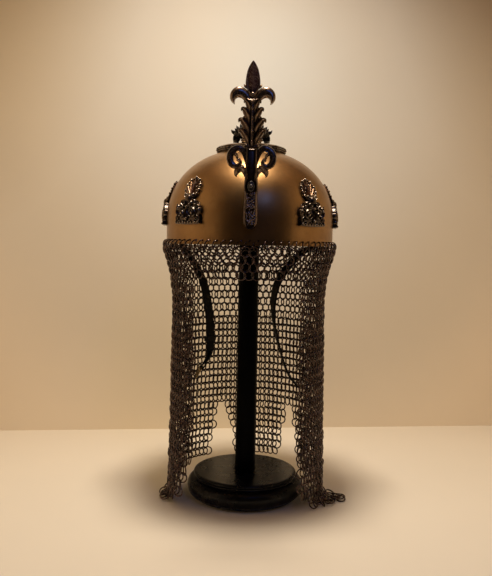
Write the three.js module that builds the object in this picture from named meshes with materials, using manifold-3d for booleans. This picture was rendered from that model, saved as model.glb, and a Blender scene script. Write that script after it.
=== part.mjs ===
// Crested helmet with a slotted sliding nasal, palmette mounts, leather lining and chin
// straps, and a ring-mail curtain, resting on a turned stand.
// Millimetres, +Z up, the face looks along -Y, origin at the centre of the stand's underside.
import * as THREE from "three";
import { mergeVertices } from "three/addons/utils/BufferGeometryUtils.js";
import Module from "manifold-3d";

const wasm = await Module();
wasm.setup();

// ---------------------------------------------------------------- driving dimensions
const BOWL_R = 106; // outer radius of the bowl at its rim
const RIM_Z = 326; // lower edge of the bowl
const SPRING_Z = 354.5; // height at which the straight wall turns into the crown
const CROWN_H = 93; // crown height above SPRING_Z
const CROWN_N = 2.17; // exponent of the crown's superellipse
const WALL = 1.8; // bowl wall
const BOWL_SEGMENTS = 48;
const BOWL_ROWS = 9;
const GAP = 0.35; // clearance between neighbouring pieces

const BASE_R = 75;
const BASE_H = 32.5;
const POST_R = 12.3;
const BLOCK_R = 30;

const MOUNT_Z = 378.5; // height of the palmette rivets
const MOUNT_T = 3.6; // plate thickness of a palmette
const MOUNT_ANGLES = {
  front_right: 42.5,
  side_right: 90,
  rear_right: 135,
  rear_centre: 180,
  rear_left: -135,
  side_left: -90,
  front_left: -42.5,
};

const STUD_Z = 391.7; // nasal clamp stud
const BAR_BACK = -110.4; // back face of the nasal bar
const BAR_T = 4.2;
const NASAL_TRAVEL = 36;
const SLOT_W = 6;

const STRAP_DEG = 67; // chin strap pivots, from the front
const STRAP_PIVOT_Z = 343;

const MAIL_T = 2.4; // thickness of the mail curtain
const FACE_HALF = 42.5; // half angle of the face opening
const FRINGE_Z = 284.5;
const UPPER_Z = 222;
const FLAP_Z = 104;

const rad = (d) => (d * Math.PI) / 180;

// ---------------------------------------------------------------- geometry helpers
// Merges corners, drops triangles with no area, and turns the surface to face out.
function tidy(geometry) {
  const g = new THREE.BufferGeometry();
  const src = geometry.index ? geometry.toNonIndexed() : geometry;
  g.setAttribute("position", src.getAttribute("position"));
  const m = mergeVertices(g, 1e-3);
  const p = m.getAttribute("position");
  const idx = [];
  for (let i = 0; i < m.index.count; i += 3) {
    const a = m.index.getX(i), b = m.index.getX(i + 1), c = m.index.getX(i + 2);
    if (a !== b && b !== c && a !== c) idx.push(a, b, c);
  }
  let volume = 0;
  const A = new THREE.Vector3(), B = new THREE.Vector3(), C = new THREE.Vector3();
  for (let i = 0; i < idx.length; i += 3) {
    A.fromBufferAttribute(p, idx[i]);
    B.fromBufferAttribute(p, idx[i + 1]);
    C.fromBufferAttribute(p, idx[i + 2]);
    volume += A.dot(B.cross(C));
  }
  if (volume < 0) for (let i = 0; i < idx.length; i += 3) [idx[i + 1], idx[i + 2]] = [idx[i + 2], idx[i + 1]];
  m.setIndex(idx);
  return m;
}
function solid(geometry) {
  const g = tidy(geometry);
  return new wasm.Manifold(
    new wasm.Mesh({
      numProp: 3,
      vertProperties: new Float32Array(g.getAttribute("position").array),
      triVerts: new Uint32Array(g.index.array),
    }),
  );
}
function surface(manifold) {
  const m = manifold.getMesh();
  const v = new Float32Array(m.numVert * 3);
  for (let i = 0; i < m.numVert; i++) v.set(m.vertProperties.subarray(i * m.numProp, i * m.numProp + 3), i * 3);
  const g = new THREE.BufferGeometry();
  g.setAttribute("position", new THREE.BufferAttribute(v, 3));
  g.setIndex(Array.from(m.triVerts));
  return g;
}
// Revolves [radius, z] pairs about Z.
function turned(profile, segments = 32) {
  const g = new THREE.LatheGeometry(profile.map(([r, z]) => new THREE.Vector2(r, z)), segments);
  g.rotateX(Math.PI / 2);
  return tidy(g);
}
// Closes a profile that does not touch the axis.
const ring = (profile, segments) => turned([...profile, profile[0]], segments);
// A plain round rod from a to b.
function rod(a, b, r0, r1 = r0, segments = 12) {
  const from = new THREE.Vector3(...a), to = new THREE.Vector3(...b);
  const g = new THREE.CylinderGeometry(r1, r0, from.distanceTo(to), segments);
  g.translate(0, from.distanceTo(to) / 2, 0);
  g.applyQuaternion(new THREE.Quaternion().setFromUnitVectors(new THREE.Vector3(0, 1, 0), to.clone().sub(from).normalize()));
  g.translate(from.x, from.y, from.z);
  return g;
}
// A thick sheet between two families of points, inner(i, j) and outer(i, j).
function sheet(nu, nv, outer, inner, closed = false) {
  const pts = [], idx = [];
  const cols = closed ? nu : nu + 1;
  for (const f of [outer, inner]) for (let i = 0; i < cols; i++) for (let j = 0; j <= nv; j++) pts.push(...f(i / nu, j / nv));
  const id = (side, i, j) => side * cols * (nv + 1) + (i % cols) * (nv + 1) + j;
  const quad = (a, b, c, d) => idx.push(a, b, c, a, c, d);
  for (let i = 0; i < nu; i++)
    for (let j = 0; j < nv; j++) {
      quad(id(0, i, j), id(0, i + 1, j), id(0, i + 1, j + 1), id(0, i, j + 1));
      quad(id(1, i, j), id(1, i, j + 1), id(1, i + 1, j + 1), id(1, i + 1, j));
    }
  for (let i = 0; i < nu; i++) {
    quad(id(0, i, 0), id(1, i, 0), id(1, i + 1, 0), id(0, i + 1, 0));
    quad(id(0, i, nv), id(0, i + 1, nv), id(1, i + 1, nv), id(1, i, nv));
  }
  if (!closed)
    for (let j = 0; j < nv; j++) {
      quad(id(0, 0, j), id(0, 0, j + 1), id(1, 0, j + 1), id(1, 0, j));
      quad(id(0, nu, j), id(1, nu, j), id(1, nu, j + 1), id(0, nu, j + 1));
    }
  const g = new THREE.BufferGeometry();
  g.setAttribute("position", new THREE.BufferAttribute(new Float32Array(pts), 3));
  g.setIndex(idx);
  return tidy(g);
}
// A flat shape in X and Z, from y0 forward (towards -Y) by depth.
function plate(shape, y0, depth, curveSegments = 4) {
  const g = new THREE.ExtrudeGeometry(shape, { depth, bevelEnabled: false, curveSegments });
  g.rotateX(Math.PI / 2); // shape y becomes z, and the depth runs along -Y
  g.translate(0, y0, 0);
  return tidy(g);
}
const polygon = (points) => new THREE.Shape(points.map(([x, z]) => new THREE.Vector2(x, z)));

// ---------------------------------------------------------------- the bowl's surface
const outerR = (z) => (z <= SPRING_Z ? BOWL_R : BOWL_R * Math.pow(Math.max(0, 1 - Math.pow((z - SPRING_Z) / CROWN_H, CROWN_N)), 1 / CROWN_N));
// Outward normal of the bowl's profile at radius r and height z, as [radial, up].
function normalAt(r, z) {
  if (z <= SPRING_Z) return [1, 0];
  const a = Math.pow(r / BOWL_R, CROWN_N - 1) / BOWL_R;
  const b = Math.pow((z - SPRING_Z) / CROWN_H, CROWN_N - 1) / CROWN_H;
  const l = Math.hypot(a, b);
  return [a / l, b / l];
}
// Profile walked from the rim to the crown: arc length, radius, height.
const WALK = (() => {
  const rows = [[0, BOWL_R, RIM_Z], [SPRING_Z - RIM_Z, BOWL_R, SPRING_Z]];
  const steps = 400;
  let [s, r0, z0] = rows[1];
  for (let i = 1; i <= steps; i++) {
    const t = ((i / steps) * Math.PI) / 2;
    const r = BOWL_R * Math.pow(Math.max(0, Math.cos(t)), 2 / CROWN_N), z = SPRING_Z + CROWN_H * Math.pow(Math.sin(t), 2 / CROWN_N);
    s += Math.hypot(r - r0, z - z0);
    rows.push([s, r, z]);
    [r0, z0] = [r, z];
  }
  return rows;
})();
function walk(s) {
  let i = 1;
  while (i < WALK.length - 1 && WALK[i][0] < s) i++;
  const [s0, r0, z0] = WALK[i - 1], [s1, r1, z1] = WALK[i];
  const t = (s - s0) / (s1 - s0);
  return [r0 + (r1 - r0) * t, z0 + (z1 - z0) * t];
}
const lengthAt = (z) => {
  let i = 1;
  while (i < WALK.length - 1 && WALK[i][2] < z) i++;
  const t = (z - WALK[i - 1][2]) / (WALK[i][2] - WALK[i - 1][2]);
  return WALK[i - 1][0] + (WALK[i][0] - WALK[i - 1][0]) * t;
};
// The point at arc length s, sideways distance u from the meridian at angle deg, and height h above the surface.
function onBowl(deg, u, s, h) {
  const [r, z] = walk(s);
  const [nr, nz] = normalAt(r, z);
  const a = rad(deg) + u / Math.max(r, 12);
  const R = r + nr * h;
  return [R * Math.sin(a), -R * Math.cos(a), z + nz * h];
}
const radial = (deg, r, z) => [r * Math.sin(rad(deg)), -r * Math.cos(rad(deg)), z];

function bowlProfile(offset, count) {
  const pts = [];
  const total = WALK[WALK.length - 1][0];
  for (let i = 0; i <= count; i++) {
    const s = i === 0 ? 0 : (SPRING_Z - RIM_Z) + ((total - (SPRING_Z - RIM_Z)) * (i - 1)) / (count - 1);
    const [r, z] = walk(Math.min(s, total));
    const [nr, nz] = normalAt(r, z);
    pts.push([Math.max(0, r + nr * offset), z + nz * offset]);
  }
  pts[pts.length - 1][0] = 0;
  return pts;
}

// ---------------------------------------------------------------- materials
const material = (color, roughness, metalness) => new THREE.MeshStandardMaterial({ color, roughness, metalness });
const bronze = material(0x8a6232, 0.3, 1.0);
const casting = material(0x4a3324, 0.45, 1.0);
const darkSteel = material(0x2f2926, 0.4, 1.0);
const mail = material(0x46352a, 0.4, 1.0);
const leather = material(0x17130f, 0.6, 0.0);
const lining = material(0x5a3f28, 0.75, 0.0);
const blackWood = material(0x0c0b0b, 0.25, 0.0);
const brass = material(0x9a7a3c, 0.35, 1.0);
const feltCloth = material(0x1a1d1a, 0.95, 0.0);

const root = new THREE.Group();
function add(name, geometry, mat, group = root) {
  const mesh = new THREE.Mesh(geometry, mat);
  mesh.name = name;
  group.add(mesh);
  return mesh;
}

// ---------------------------------------------------------------- stand
const stand = new THREE.Group();
root.add(stand);
// Turned base: counterbore for the screw head, through hole, and a socket for the post.
add("stand_base", ring([
  [8, 1.6], [67, 1.6], [69, 2.2], [73.6, 7], [BASE_R, 12.5], [BASE_R, 16.5], [73.4, 21], [69.6, 24.2],
  [64.6, 25.2], [64.6, 27.8], [66.6, 28.6], [66.6, 31.2], [65.4, BASE_H],
  [8.4, BASE_H], [8.4, 18], [3.2, 18], [3.2, 5], [8, 5],
], 40), blackWood, stand);
// Felt pad glued under the base, over the screw's counterbore.
add("stand_base_felt", turned([[0, 0], [60, 0], [60, 1.3], [0, 1.3]], 40), feltCloth, stand);
// Post with a tenon at each end and a pilot hole for the screw.
add("stand_post", turned([
  [0, 52], [2.9, 52], [2.9, 18.4], [8, 18.4], [8, 32.8], [13.2, 32.9], [13.2, 36], [12.6, 60],
  [POST_R, 120], [POST_R, 402], [7, 402.2], [7, 418], [0, 418],
], 20), blackWood, stand);
add("stand_base_screw", turned([[0, 1.9], [6.4, 1.9], [6.4, 3.8], [2.5, 4.8], [2.5, 44], [0, 48]], 16), darkSteel, stand);
// Turned block that carries the crown of the helmet.
add("stand_head_block", turned([
  [0, 418.6], [7.4, 418.6], [7.4, 402.4], [24, 402.4], [28.6, 405], [BLOCK_R, 411], [BLOCK_R, 419], [27.6, 426],
  [21, 431.5], [12, 434.4], [0, 435.2],
], 24), blackWood, stand);

// ---------------------------------------------------------------- helmet
const helmet = new THREE.Group();
root.add(helmet);

const bowlOuter = bowlProfile(0, BOWL_ROWS), bowlInner = bowlProfile(-WALL, BOWL_ROWS);
let bowl = solid(turned([...bowlOuter, ...bowlInner.slice().reverse(), bowlOuter[0]], BOWL_SEGMENTS));
const rivetAxis = {};
const [MR] = walk(lengthAt(MOUNT_Z));
const [MNR, MNZ] = normalAt(MR, MOUNT_Z);
for (const [name, deg] of Object.entries(MOUNT_ANGLES)) {
  const at = (h) => radial(deg, MR + MNR * h, MOUNT_Z + MNZ * h);
  rivetAxis[name] = at;
  bowl = bowl.subtract(solid(rod(at(-12), at(12), 2.5, 2.5, 10)));
}
bowl = bowl.subtract(solid(rod([0, 0, 430], [0, 0, 460], 3.6, 3.6, 12)));
bowl = bowl.subtract(solid(rod([0, -80, STUD_Z], [0, -124, STUD_Z], 2.7, 2.7, 10)));
add("bowl", surface(bowl), bronze, helmet);

// Palmette mounts: half width of the outline by height, foot first, then scrolls, neck and fan.
const OUTLINE = [[0, 19.8], [3.2, 19.8], [3.6, 18.2], [13, 19], [22, 17.2], [27, 10.2], [30, 6.4], [34, 8.4], [40, 11.2], [46, 11.6], [53, 8.6], [58.5, 2.4]];
const FOOT_S = lengthAt(349.5);
for (const [name, deg] of Object.entries(MOUNT_ANGLES)) {
  const at = rivetAxis[name];
  const rows = OUTLINE.length - 1;
  const point = (h) => (i, j) => {
    const [v, w] = OUTLINE[Math.round(j * rows)];
    const thick = h === 0 ? GAP : v < 27 ? MOUNT_T + 1.2 : MOUNT_T - 0.8;
    return onBowl(deg, (i * 2 - 1) * w, FOOT_S + v, thick);
  };
  let p = solid(sheet(4, rows, point(1), point(0)));
  p = p.subtract(solid(rod(at(-3), at(16), 2.5, 2.5, 10)));
  add("palmette_" + name, surface(p), casting, helmet);
}
// One rivet holds each palmette and the lining tongue behind it.
for (const [name] of Object.entries(MOUNT_ANGLES)) {
  const at = rivetAxis[name];
  const head = MOUNT_T + 1.2 + 0.4;
  let r = solid(rod(at(-8.4), at(head + 0.5), 2.1, 2.1, 10));
  r = r.add(solid(rod(at(head), at(head + 2.4), 4.2, 2.6, 10)));
  r = r.add(solid(rod(at(-9.3), at(-7.5), 3.8, 4.6, 10)));
  add("rivet_" + name, surface(r), casting, helmet);
}

// Crown: a fluted rosette, a leaf cup and a bud, drawn down by a nut under the bowl.
{
  const N = 32, rim = 43.2;
  const total = WALK[WALK.length - 1][0];
  const edge = (a) => rim - 1.6 * (1 - Math.cos(8 * a));
  const point = (top) => (i, j) => {
    const a = i * 2 * Math.PI;
    const rr = 3.8 + (edge(a) - 3.8) * j;
    const [r, z] = walk(total - rr * 1.004);
    const [nr, nz] = normalAt(Math.max(r, 0.5), z);
    const h = top ? (j > 0.9 ? 5.2 : 5.6) : GAP + 0.1;
    return [(r + nr * h) * Math.sin(a), -(r + nr * h) * Math.cos(a), z + nz * h];
  };
  add("crown_rosette", sheet(N, 3, point(true), point(false), true), casting, helmet);
}
add("crown_leaf_cup", ring([[3.9, 454.2], [9.5, 454.2], [11.5, 457], [17, 462], [23.2, 466.6], [22.4, 470.5], [16, 470], [10, 465.5], [3.9, 462.6]], 24), casting, helmet);
add("crown_bud", turned([[0, 436.6], [3.1, 436.6], [3.1, 464.2], [6.2, 464.6], [7.2, 468], [6.4, 475], [4, 483], [1.4, 488.5], [0, 489.5]], 16), casting, helmet);
add("crown_nut", ring([[3.6, 438.2], [7.6, 438.2], [7.6, 443], [3.6, 443]], 6), darkSteel, helmet);

// Nasal bracket: a boss cut to the bowl and a back plate, with a key that runs in the bar's slot, drilled for the stud.
{
  const core = solid(turned([[0, RIM_Z], ...bowlProfile(GAP, BOWL_ROWS)], BOWL_SEGMENTS));
  const under = solid(turned([[0, RIM_Z], ...bowlProfile(-WALL - GAP, BOWL_ROWS)], BOWL_SEGMENTS));
  const face = BAR_BACK + GAP;
  let bracket = solid(rod([0, -84, STUD_Z], [0, face + 1, STUD_Z], 8.5, 7.2, 20));
  const back = new THREE.BoxGeometry(11.6, 1.9, 49);
  back.translate(0, face + 0.95, 409.2);
  const key = new THREE.BoxGeometry(SLOT_W - 0.7, BAR_T, 10);
  key.translate(0, face - BAR_T / 2 + 0.2, STUD_Z);
  bracket = bracket.add(solid(back)).add(solid(key)).subtract(core).subtract(solid(rod([0, -80, STUD_Z], [0, -124, STUD_Z], 2.35, 2.35, 10)));
  add("nasal_bracket", surface(bracket), casting, helmet);
  // the stud's head is seated against the inside of the bowl
  let stud = solid(rod([0, -89, STUD_Z], [0, -98, STUD_Z], 5.2, 5.2, 6)).intersect(under);
  stud = stud.add(solid(rod([0, -90, STUD_Z], [0, -120.5, STUD_Z], 2, 2, 10)));
  add("nasal_stud", surface(stud), darkSteel, helmet);
}
// Thumb nut: an oval with two lobes.
{
  const pts = [];
  for (let i = 0; i < 20; i++) {
    const a = (i / 20) * 2 * Math.PI;
    const r = 4 + 1.9 * Math.pow(Math.abs(Math.sin(a)), 3);
    pts.push([r * Math.cos(a), STUD_Z + r * Math.sin(a)]);
  }
  const shape = polygon(pts);
  const hole = new THREE.Path();
  hole.absarc(0, STUD_Z, 2.35, 0, 2 * Math.PI, true);
  shape.holes.push(hole);
  add("nasal_thumb_nut", plate(shape, BAR_BACK - BAR_T - GAP, 4.8, 5), brass, helmet);
}

// ---------------------------------------------------------------- nasal bar
{
  const half = [
    // right-hand outline from the lower end up to the tip
    [0, 343.9], [4.6, 345.2], [7.6, 348.6], [8.9, 353.5], [8.6, 370], [7.9, 386], [7.2, 400],
    // small lower volute
    [8.2, 403.4], [10.4, 407], [13.4, 409], [16.2, 405.6], [18, 407.2], [17.4, 411.6], [14.4, 414.2], [10.2, 413.6], [6.6, 411.4],
    // large scroll, outer side
    [6.4, 414.6], [9.6, 416], [13.4, 413.2], [18, 411.8], [23, 413.6], [26.8, 418.6], [28, 425.4], [26.2, 431.2], [21.6, 435.2], [15.4, 437.2], [9.6, 436.2], [6, 433],
    // stem and leaves
    [5.6, 440], [7.2, 448], [9, 455.5], [12, 464.8], [8.2, 464], [7.6, 467.5], [8.8, 472.5], [10.6, 477.8], [7, 480.4], [5.3, 484],
    // collar and petal
    [5.6, 487.4], [9.6, 489.6], [13.4, 489.6], [16.8, 487.4], [19.4, 483.4], [22.8, 487.6], [24.3, 492.6], [22.8, 497.4], [19, 500.8], [13.6, 502.2], [9, 501], [6.2, 499.2],
    // blade
    [7.6, 502.2], [8.2, 505.5], [7.5, 510], [6.8, 515], [5.3, 521], [2.9, 525.6], [0, 530],
  ];
  const left = half.slice(1, -1).reverse().map(([x, z]) => [-x, z]);
  const shape = polygon([...half, ...left]);
  const slot = new THREE.Path();
  const w = SLOT_W / 2, lo = STUD_Z - 5.4, hi = STUD_Z + NASAL_TRAVEL + 5.4;
  slot.setFromPoints([[-w, lo], [-w, hi], [w, hi], [w, lo]].map(([x, z]) => new THREE.Vector2(x, z)));
  shape.holes.push(slot);
  for (const s of [1, -1]) {
    const open = new THREE.Path();
    open.setFromPoints([[6.4, 420], [7.2, 426.6], [10.6, 431], [15.2, 431.8], [19.4, 429.4], [20.6, 424.6], [18.6, 419], [13.4, 417.4]].map(([x, z]) => new THREE.Vector2(s * x, z)));
    shape.holes.push(open);
  }
  add("nasal_bar", plate(shape, BAR_BACK, BAR_T), casting);
}

// ---------------------------------------------------------------- leather lining
let band = solid(ring([[101.7, 330], [103.2, 330], [103.2, 361], [101.7, 361]], 40));
for (const deg of [STRAP_DEG, -STRAP_DEG]) band = band.subtract(solid(rod(radial(deg, 96, STRAP_PIVOT_Z), radial(deg, 108, STRAP_PIVOT_Z), 2.5, 2.5, 10)));
add("liner_band", surface(band), lining, helmet);
// Eight tongues rise from the band, lie against the bowl where they are riveted, and meet under the crown.
const LINER_BOTTOM = 350;
function tongueAt(deg, u, t, depth) {
  // t runs from the band (0) to the lacing (1)
  const total = WALK[WALK.length - 1][0];
  const s0 = lengthAt(LINER_BOTTOM), s1 = total - 26;
  const s = s0 + (s1 - s0) * t;
  const inset = WALL + 2.9 + 2.4 * Math.max(0, (t - 0.45) / 0.55);
  return onBowl(deg, u, s, -(inset + depth));
}
const TONGUES = { front: 0, ...MOUNT_ANGLES };
for (const [name, deg] of Object.entries(TONGUES)) {
  const width = (t) => (t < 0.3 ? 33 : 33 - ((t - 0.3) / 0.7) * 26.5);
  const side = (d) => (i, j) => tongueAt(deg, (i * 2 - 1) * width(j), j, d);
  let g = solid(sheet(4, 6, side(0), side(1.6)));
  if (name === "front") g = g.subtract(solid(rod([0, -70, STUD_Z], [0, -124, STUD_Z], 5.9, 5.9, 12)));
  else g = g.subtract(solid(rod(rivetAxis[name](-14), rivetAxis[name](2), 2.5, 2.5, 10)));
  add("liner_tongue_" + name, surface(g), lining, helmet);
}
{
  const lace = new THREE.TorusGeometry(19.5, 1.1, 6, 24);
  lace.translate(0, 0, 437);
  add("liner_lace", tidy(lace), leather, helmet);
}

// ---------------------------------------------------------------- chin straps
// A flat strap along a list of [x, y, z, twist in degrees]; twist 0 puts the width along Y.
function strap(points, width, thickness) {
  const curve = new THREE.CatmullRomCurve3(points.map(([x, y, z]) => new THREE.Vector3(x, y, z)));
  const n = points.length * 3;
  const P = [], T = [];
  for (let i = 0; i <= n; i++) {
    P.push(curve.getPoint(i / n));
    T.push(curve.getTangent(i / n));
  }
  const corner = (k) => (i, j) => {
    const m = Math.round(j * n);
    const q = (m / n) * (points.length - 1);
    const a = Math.min(points.length - 2, Math.floor(q));
    const twist = rad(points[a][3] + (points[a + 1][3] - points[a][3]) * (q - a));
    const across = new THREE.Vector3(Math.sin(twist), Math.cos(twist), 0);
    const t = T[m];
    across.addScaledVector(t, -across.dot(t)).normalize();
    const out = new THREE.Vector3().crossVectors(t, across).normalize();
    const v = P[m].clone().addScaledVector(across, (i - 0.5) * width).addScaledVector(out, (k - 0.5) * thickness);
    return [v.x, v.y, v.z];
  };
  return sheet(1, n, corner(1), corner(0));
}
const STRAP_Y = -39;
const LEFT_STRAP = [[-91.1, STRAP_Y, 348.6, -23], [-90.9, STRAP_Y, 337.5, -20], [-85.4, STRAP_Y, 327, -4], [-75, STRAP_Y, 314, 18], [-59, STRAP_Y, 287, 28], [-50.5, STRAP_Y, 256, 32], [-46.5, STRAP_Y, 219, 32], [-47, STRAP_Y, 192, 24], [-53, STRAP_Y, 178, 12]];
const RIGHT_STRAP = [[91.1, STRAP_Y, 348.6, 23], [90.9, STRAP_Y, 337.5, 18], [83, STRAP_Y, 328, -6], [68, STRAP_Y, 320, -28], [50, STRAP_Y, 303, -34], [35.5, STRAP_Y, 280, -30], [31, STRAP_Y, 256, -18], [32.5, STRAP_Y, 230, -8], [40, STRAP_Y, 199, -4], [51, STRAP_Y, 168, 0], [66, STRAP_Y, 149, 0]];
const strapBody = (pts, sign) => {
  let s = solid(strap(pts, 15, 2));
  // the hole that turns on the rivet
  s = s.subtract(solid(rod(radial(sign * STRAP_DEG, 90, STRAP_PIVOT_Z), radial(sign * STRAP_DEG, 108, STRAP_PIVOT_Z), 2.6, 2.6, 10)));
  return surface(s);
};
add("chin_strap_left", strapBody(LEFT_STRAP, -1), leather);
add("chin_strap_right", strapBody(RIGHT_STRAP, 1), leather);
for (const [name, s] of [["left", -1], ["right", 1]]) {
  // a head inside the strap and a shank clinched in the band
  const at = (r) => radial(s * STRAP_DEG, r, STRAP_PIVOT_Z);
  let r = solid(rod(at(95.6), at(97.3), 3.2, 4.4, 10));
  r = r.add(solid(rod(at(96.8), at(103.1), 2.1, 2.1, 10)));
  add("chin_strap_rivet_" + name, surface(r), brass, helmet);
}
// Buckle on the end of the left strap: frame, tongue and keeper loop.
{
  const frame = polygon([[-11, -9], [11, -9], [11, 9], [-11, 9]]);
  const inside = new THREE.Path();
  inside.setFromPoints([[-8.4, -6.4], [-8.4, 6.4], [8.4, 6.4], [8.4, -6.4]].map(([x, y]) => new THREE.Vector2(x, y)));
  frame.holes.push(inside);
  const g = new THREE.ExtrudeGeometry(frame, { depth: 2.2, bevelEnabled: false });
  // frame lies in the strap's plane: its X runs along Y, its Y runs down the strap
  g.translate(0, 0, -1.1);
  const place = new THREE.Matrix4().makeBasis(new THREE.Vector3(0, 1, 0), new THREE.Vector3(0.5, 0, 0.866), new THREE.Vector3(0.866, 0, -0.5));
  place.setPosition(-59.8, STRAP_Y, 167.2);
  g.applyMatrix4(place);
  add("buckle_frame", tidy(g), brass);
  const t = new THREE.BoxGeometry(2, 13.6, 1.5);
  t.translate(0, 0.6, -2.2);
  t.applyMatrix4(place);
  add("buckle_tongue", tidy(t), brass);
  const loop = polygon([[-10, -3.3], [10, -3.3], [10, 3.3], [-10, 3.3]]);
  const gap = new THREE.Path();
  gap.setFromPoints([[-8.5, -2], [-8.5, 2], [8.5, 2], [8.5, -2]].map(([x, y]) => new THREE.Vector2(x, y)));
  loop.holes.push(gap);
  const l = new THREE.ExtrudeGeometry(loop, { depth: 6, bevelEnabled: false });
  // runs round the strap, above the buckle; depth along the strap
  const lp = new THREE.Matrix4().makeBasis(new THREE.Vector3(Math.sin(rad(30)), Math.cos(rad(30)), 0), new THREE.Vector3(Math.cos(rad(30)), -Math.sin(rad(30)), 0), new THREE.Vector3(0, 0, -1));
  lp.setPosition(-46.6, STRAP_Y, 213);
  l.applyMatrix4(lp);
  add("strap_keeper", tidy(l), leather);
}

// ---------------------------------------------------------------- mail curtain
// Mid radius of the curtain by height.
const MAIL_R = [[0, 99], [30, 98], [104, 96.5], [150, 96], [222, 95], [262, 95.2], [285, 97.8], [295, 100], [305, 102.9], [318, 107.1], [325.4, 108.3], [332, 108.3]];
function mailR(z) {
  let i = 1;
  while (i < MAIL_R.length - 1 && MAIL_R[i][0] < z) i++;
  const [z0, r0] = MAIL_R[i - 1], [z1, r1] = MAIL_R[i];
  return r0 + ((r1 - r0) * (z - z0)) / (z1 - z0);
}
// left(v) and right(v) are the edge angles, bottom(angle) and top the heights; v runs from the hem up.
function curtain(left, right, bottom, top, nu, nv, closed = false) {
  const side = (o) => (i, j) => {
    const a0 = left(j), a1 = right(j);
    const a = a0 + (a1 - a0) * i;
    const zb = bottom(a);
    const z = zb + (top - zb) * j;
    const r = mailR(z) + (o - 0.5) * MAIL_T;
    return [r * Math.sin(rad(a)), -r * Math.cos(rad(a)), z];
  };
  return sheet(nu, nv, side(1), side(0), closed);
}
const hold = (a) => () => a;
add("mail_fringe", curtain(hold(0), hold(360), hold(FRINGE_Z), 332, 40, 4, true), mail, helmet);
add("mail_upper", curtain(hold(FACE_HALF), hold(360 - FACE_HALF), hold(UPPER_Z + GAP), FRINGE_Z - GAP, 30, 2), mail, helmet);
add("mail_lower", curtain(hold(FACE_HALF), hold(360 - FACE_HALF), hold(FLAP_Z + GAP), UPPER_Z - GAP, 30, 2), mail, helmet);
const lerp = (a, b) => (j) => a + (b - a) * j;
const hem = (points) => (a) => {
  let i = 1;
  while (i < points.length - 1 && points[i][0] < a) i++;
  const [a0, z0] = points[i - 1], [a1, z1] = points[i];
  return z0 + ((z1 - z0) * Math.min(1, Math.max(0, (a - a0) / (a1 - a0))));
};
{
  const body = curtain(lerp(45.5, FACE_HALF), lerp(128.6, 137), hem([[42, 15], [60, 8], [78, 2], [92, 1.5], [118, 12], [137, 19]]), FLAP_Z - GAP, 11, 2);
  // the end of this flap lies out on the surface that the stand rests on
  const trail = new THREE.BoxGeometry(30, 26, 5.4);
  trail.translate(110.5, -12, 4.2);
  add("mail_flap_right", surface(solid(body).add(solid(trail))), mail);
}
add("mail_flap_back", curtain(lerp(152.8, 144.7), lerp(186, 197), hold(23), FLAP_Z - GAP, 6, 2), mail);
add("mail_flap_left", curtain(lerp(213, 205.6), lerp(308, 360 - FACE_HALF), hem([[205, 23], [242, 14], [268, 1.5], [284, 3], [300, 10], [318, 20]]), FLAP_Z - GAP, 11, 2), mail);

export default root;
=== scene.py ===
# Looks for the helmet on its stand: every visible piece is built here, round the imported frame.
import math

import bpy
import numpy as np
from mathutils import Matrix, Vector


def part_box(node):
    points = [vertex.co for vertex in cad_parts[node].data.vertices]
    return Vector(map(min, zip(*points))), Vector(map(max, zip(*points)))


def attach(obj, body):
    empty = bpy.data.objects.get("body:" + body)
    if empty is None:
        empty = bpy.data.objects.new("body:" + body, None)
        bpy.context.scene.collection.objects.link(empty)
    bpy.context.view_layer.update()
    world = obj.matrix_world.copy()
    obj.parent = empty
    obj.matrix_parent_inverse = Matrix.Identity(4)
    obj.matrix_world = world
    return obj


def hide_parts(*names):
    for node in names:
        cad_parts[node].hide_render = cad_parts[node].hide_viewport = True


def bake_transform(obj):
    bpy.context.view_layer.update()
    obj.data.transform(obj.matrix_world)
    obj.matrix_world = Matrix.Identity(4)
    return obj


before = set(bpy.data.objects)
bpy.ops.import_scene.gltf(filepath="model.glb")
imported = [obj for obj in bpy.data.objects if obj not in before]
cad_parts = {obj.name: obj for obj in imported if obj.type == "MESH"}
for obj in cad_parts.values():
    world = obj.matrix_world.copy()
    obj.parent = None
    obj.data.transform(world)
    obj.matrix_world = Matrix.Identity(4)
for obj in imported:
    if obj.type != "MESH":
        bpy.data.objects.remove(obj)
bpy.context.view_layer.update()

rng = np.random.default_rng(20)
MM = 0.001


def lohi(node):
    lo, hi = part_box(node)
    return np.array([float(v) / MM for v in lo]), np.array([float(v) / MM for v in hi])


# ------------------------------------------------------------------ sizes taken from the frame, in mm
_lo, _hi = lohi("bowl")
BOWL_R, RIM_Z = float(_hi[0]), float(_lo[2])
SPRING_Z = RIM_Z + 28.5
CROWN_H = float(_hi[2]) - SPRING_Z
CROWN_N = 2.17
WALL = 1.8
_lo, _hi = lohi("nasal_bar")
BAR_BACK, BAR_TIP, BAR_END = float(_hi[1]), float(_hi[2]), float(_lo[2])
_lo, _hi = lohi("nasal_thumb_nut")
STUD_Z = float(_lo[2] + _hi[2]) / 2
NUT_BACK = float(_hi[1])
_lo, _hi = lohi("stand_base")
BASE_H, BASE_R = float(_hi[2]), float(_hi[0])
MOUNT_ANGLES = {"front_right": 42.5, "side_right": 90, "rear_right": 135, "rear_centre": 180, "rear_left": -135, "side_left": -90, "front_left": -42.5}
FLAP_Z = float(lohi("mail_flap_back")[1][2]) + 0.35
HEM_BACK = float(lohi("mail_flap_back")[0][2])


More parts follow.
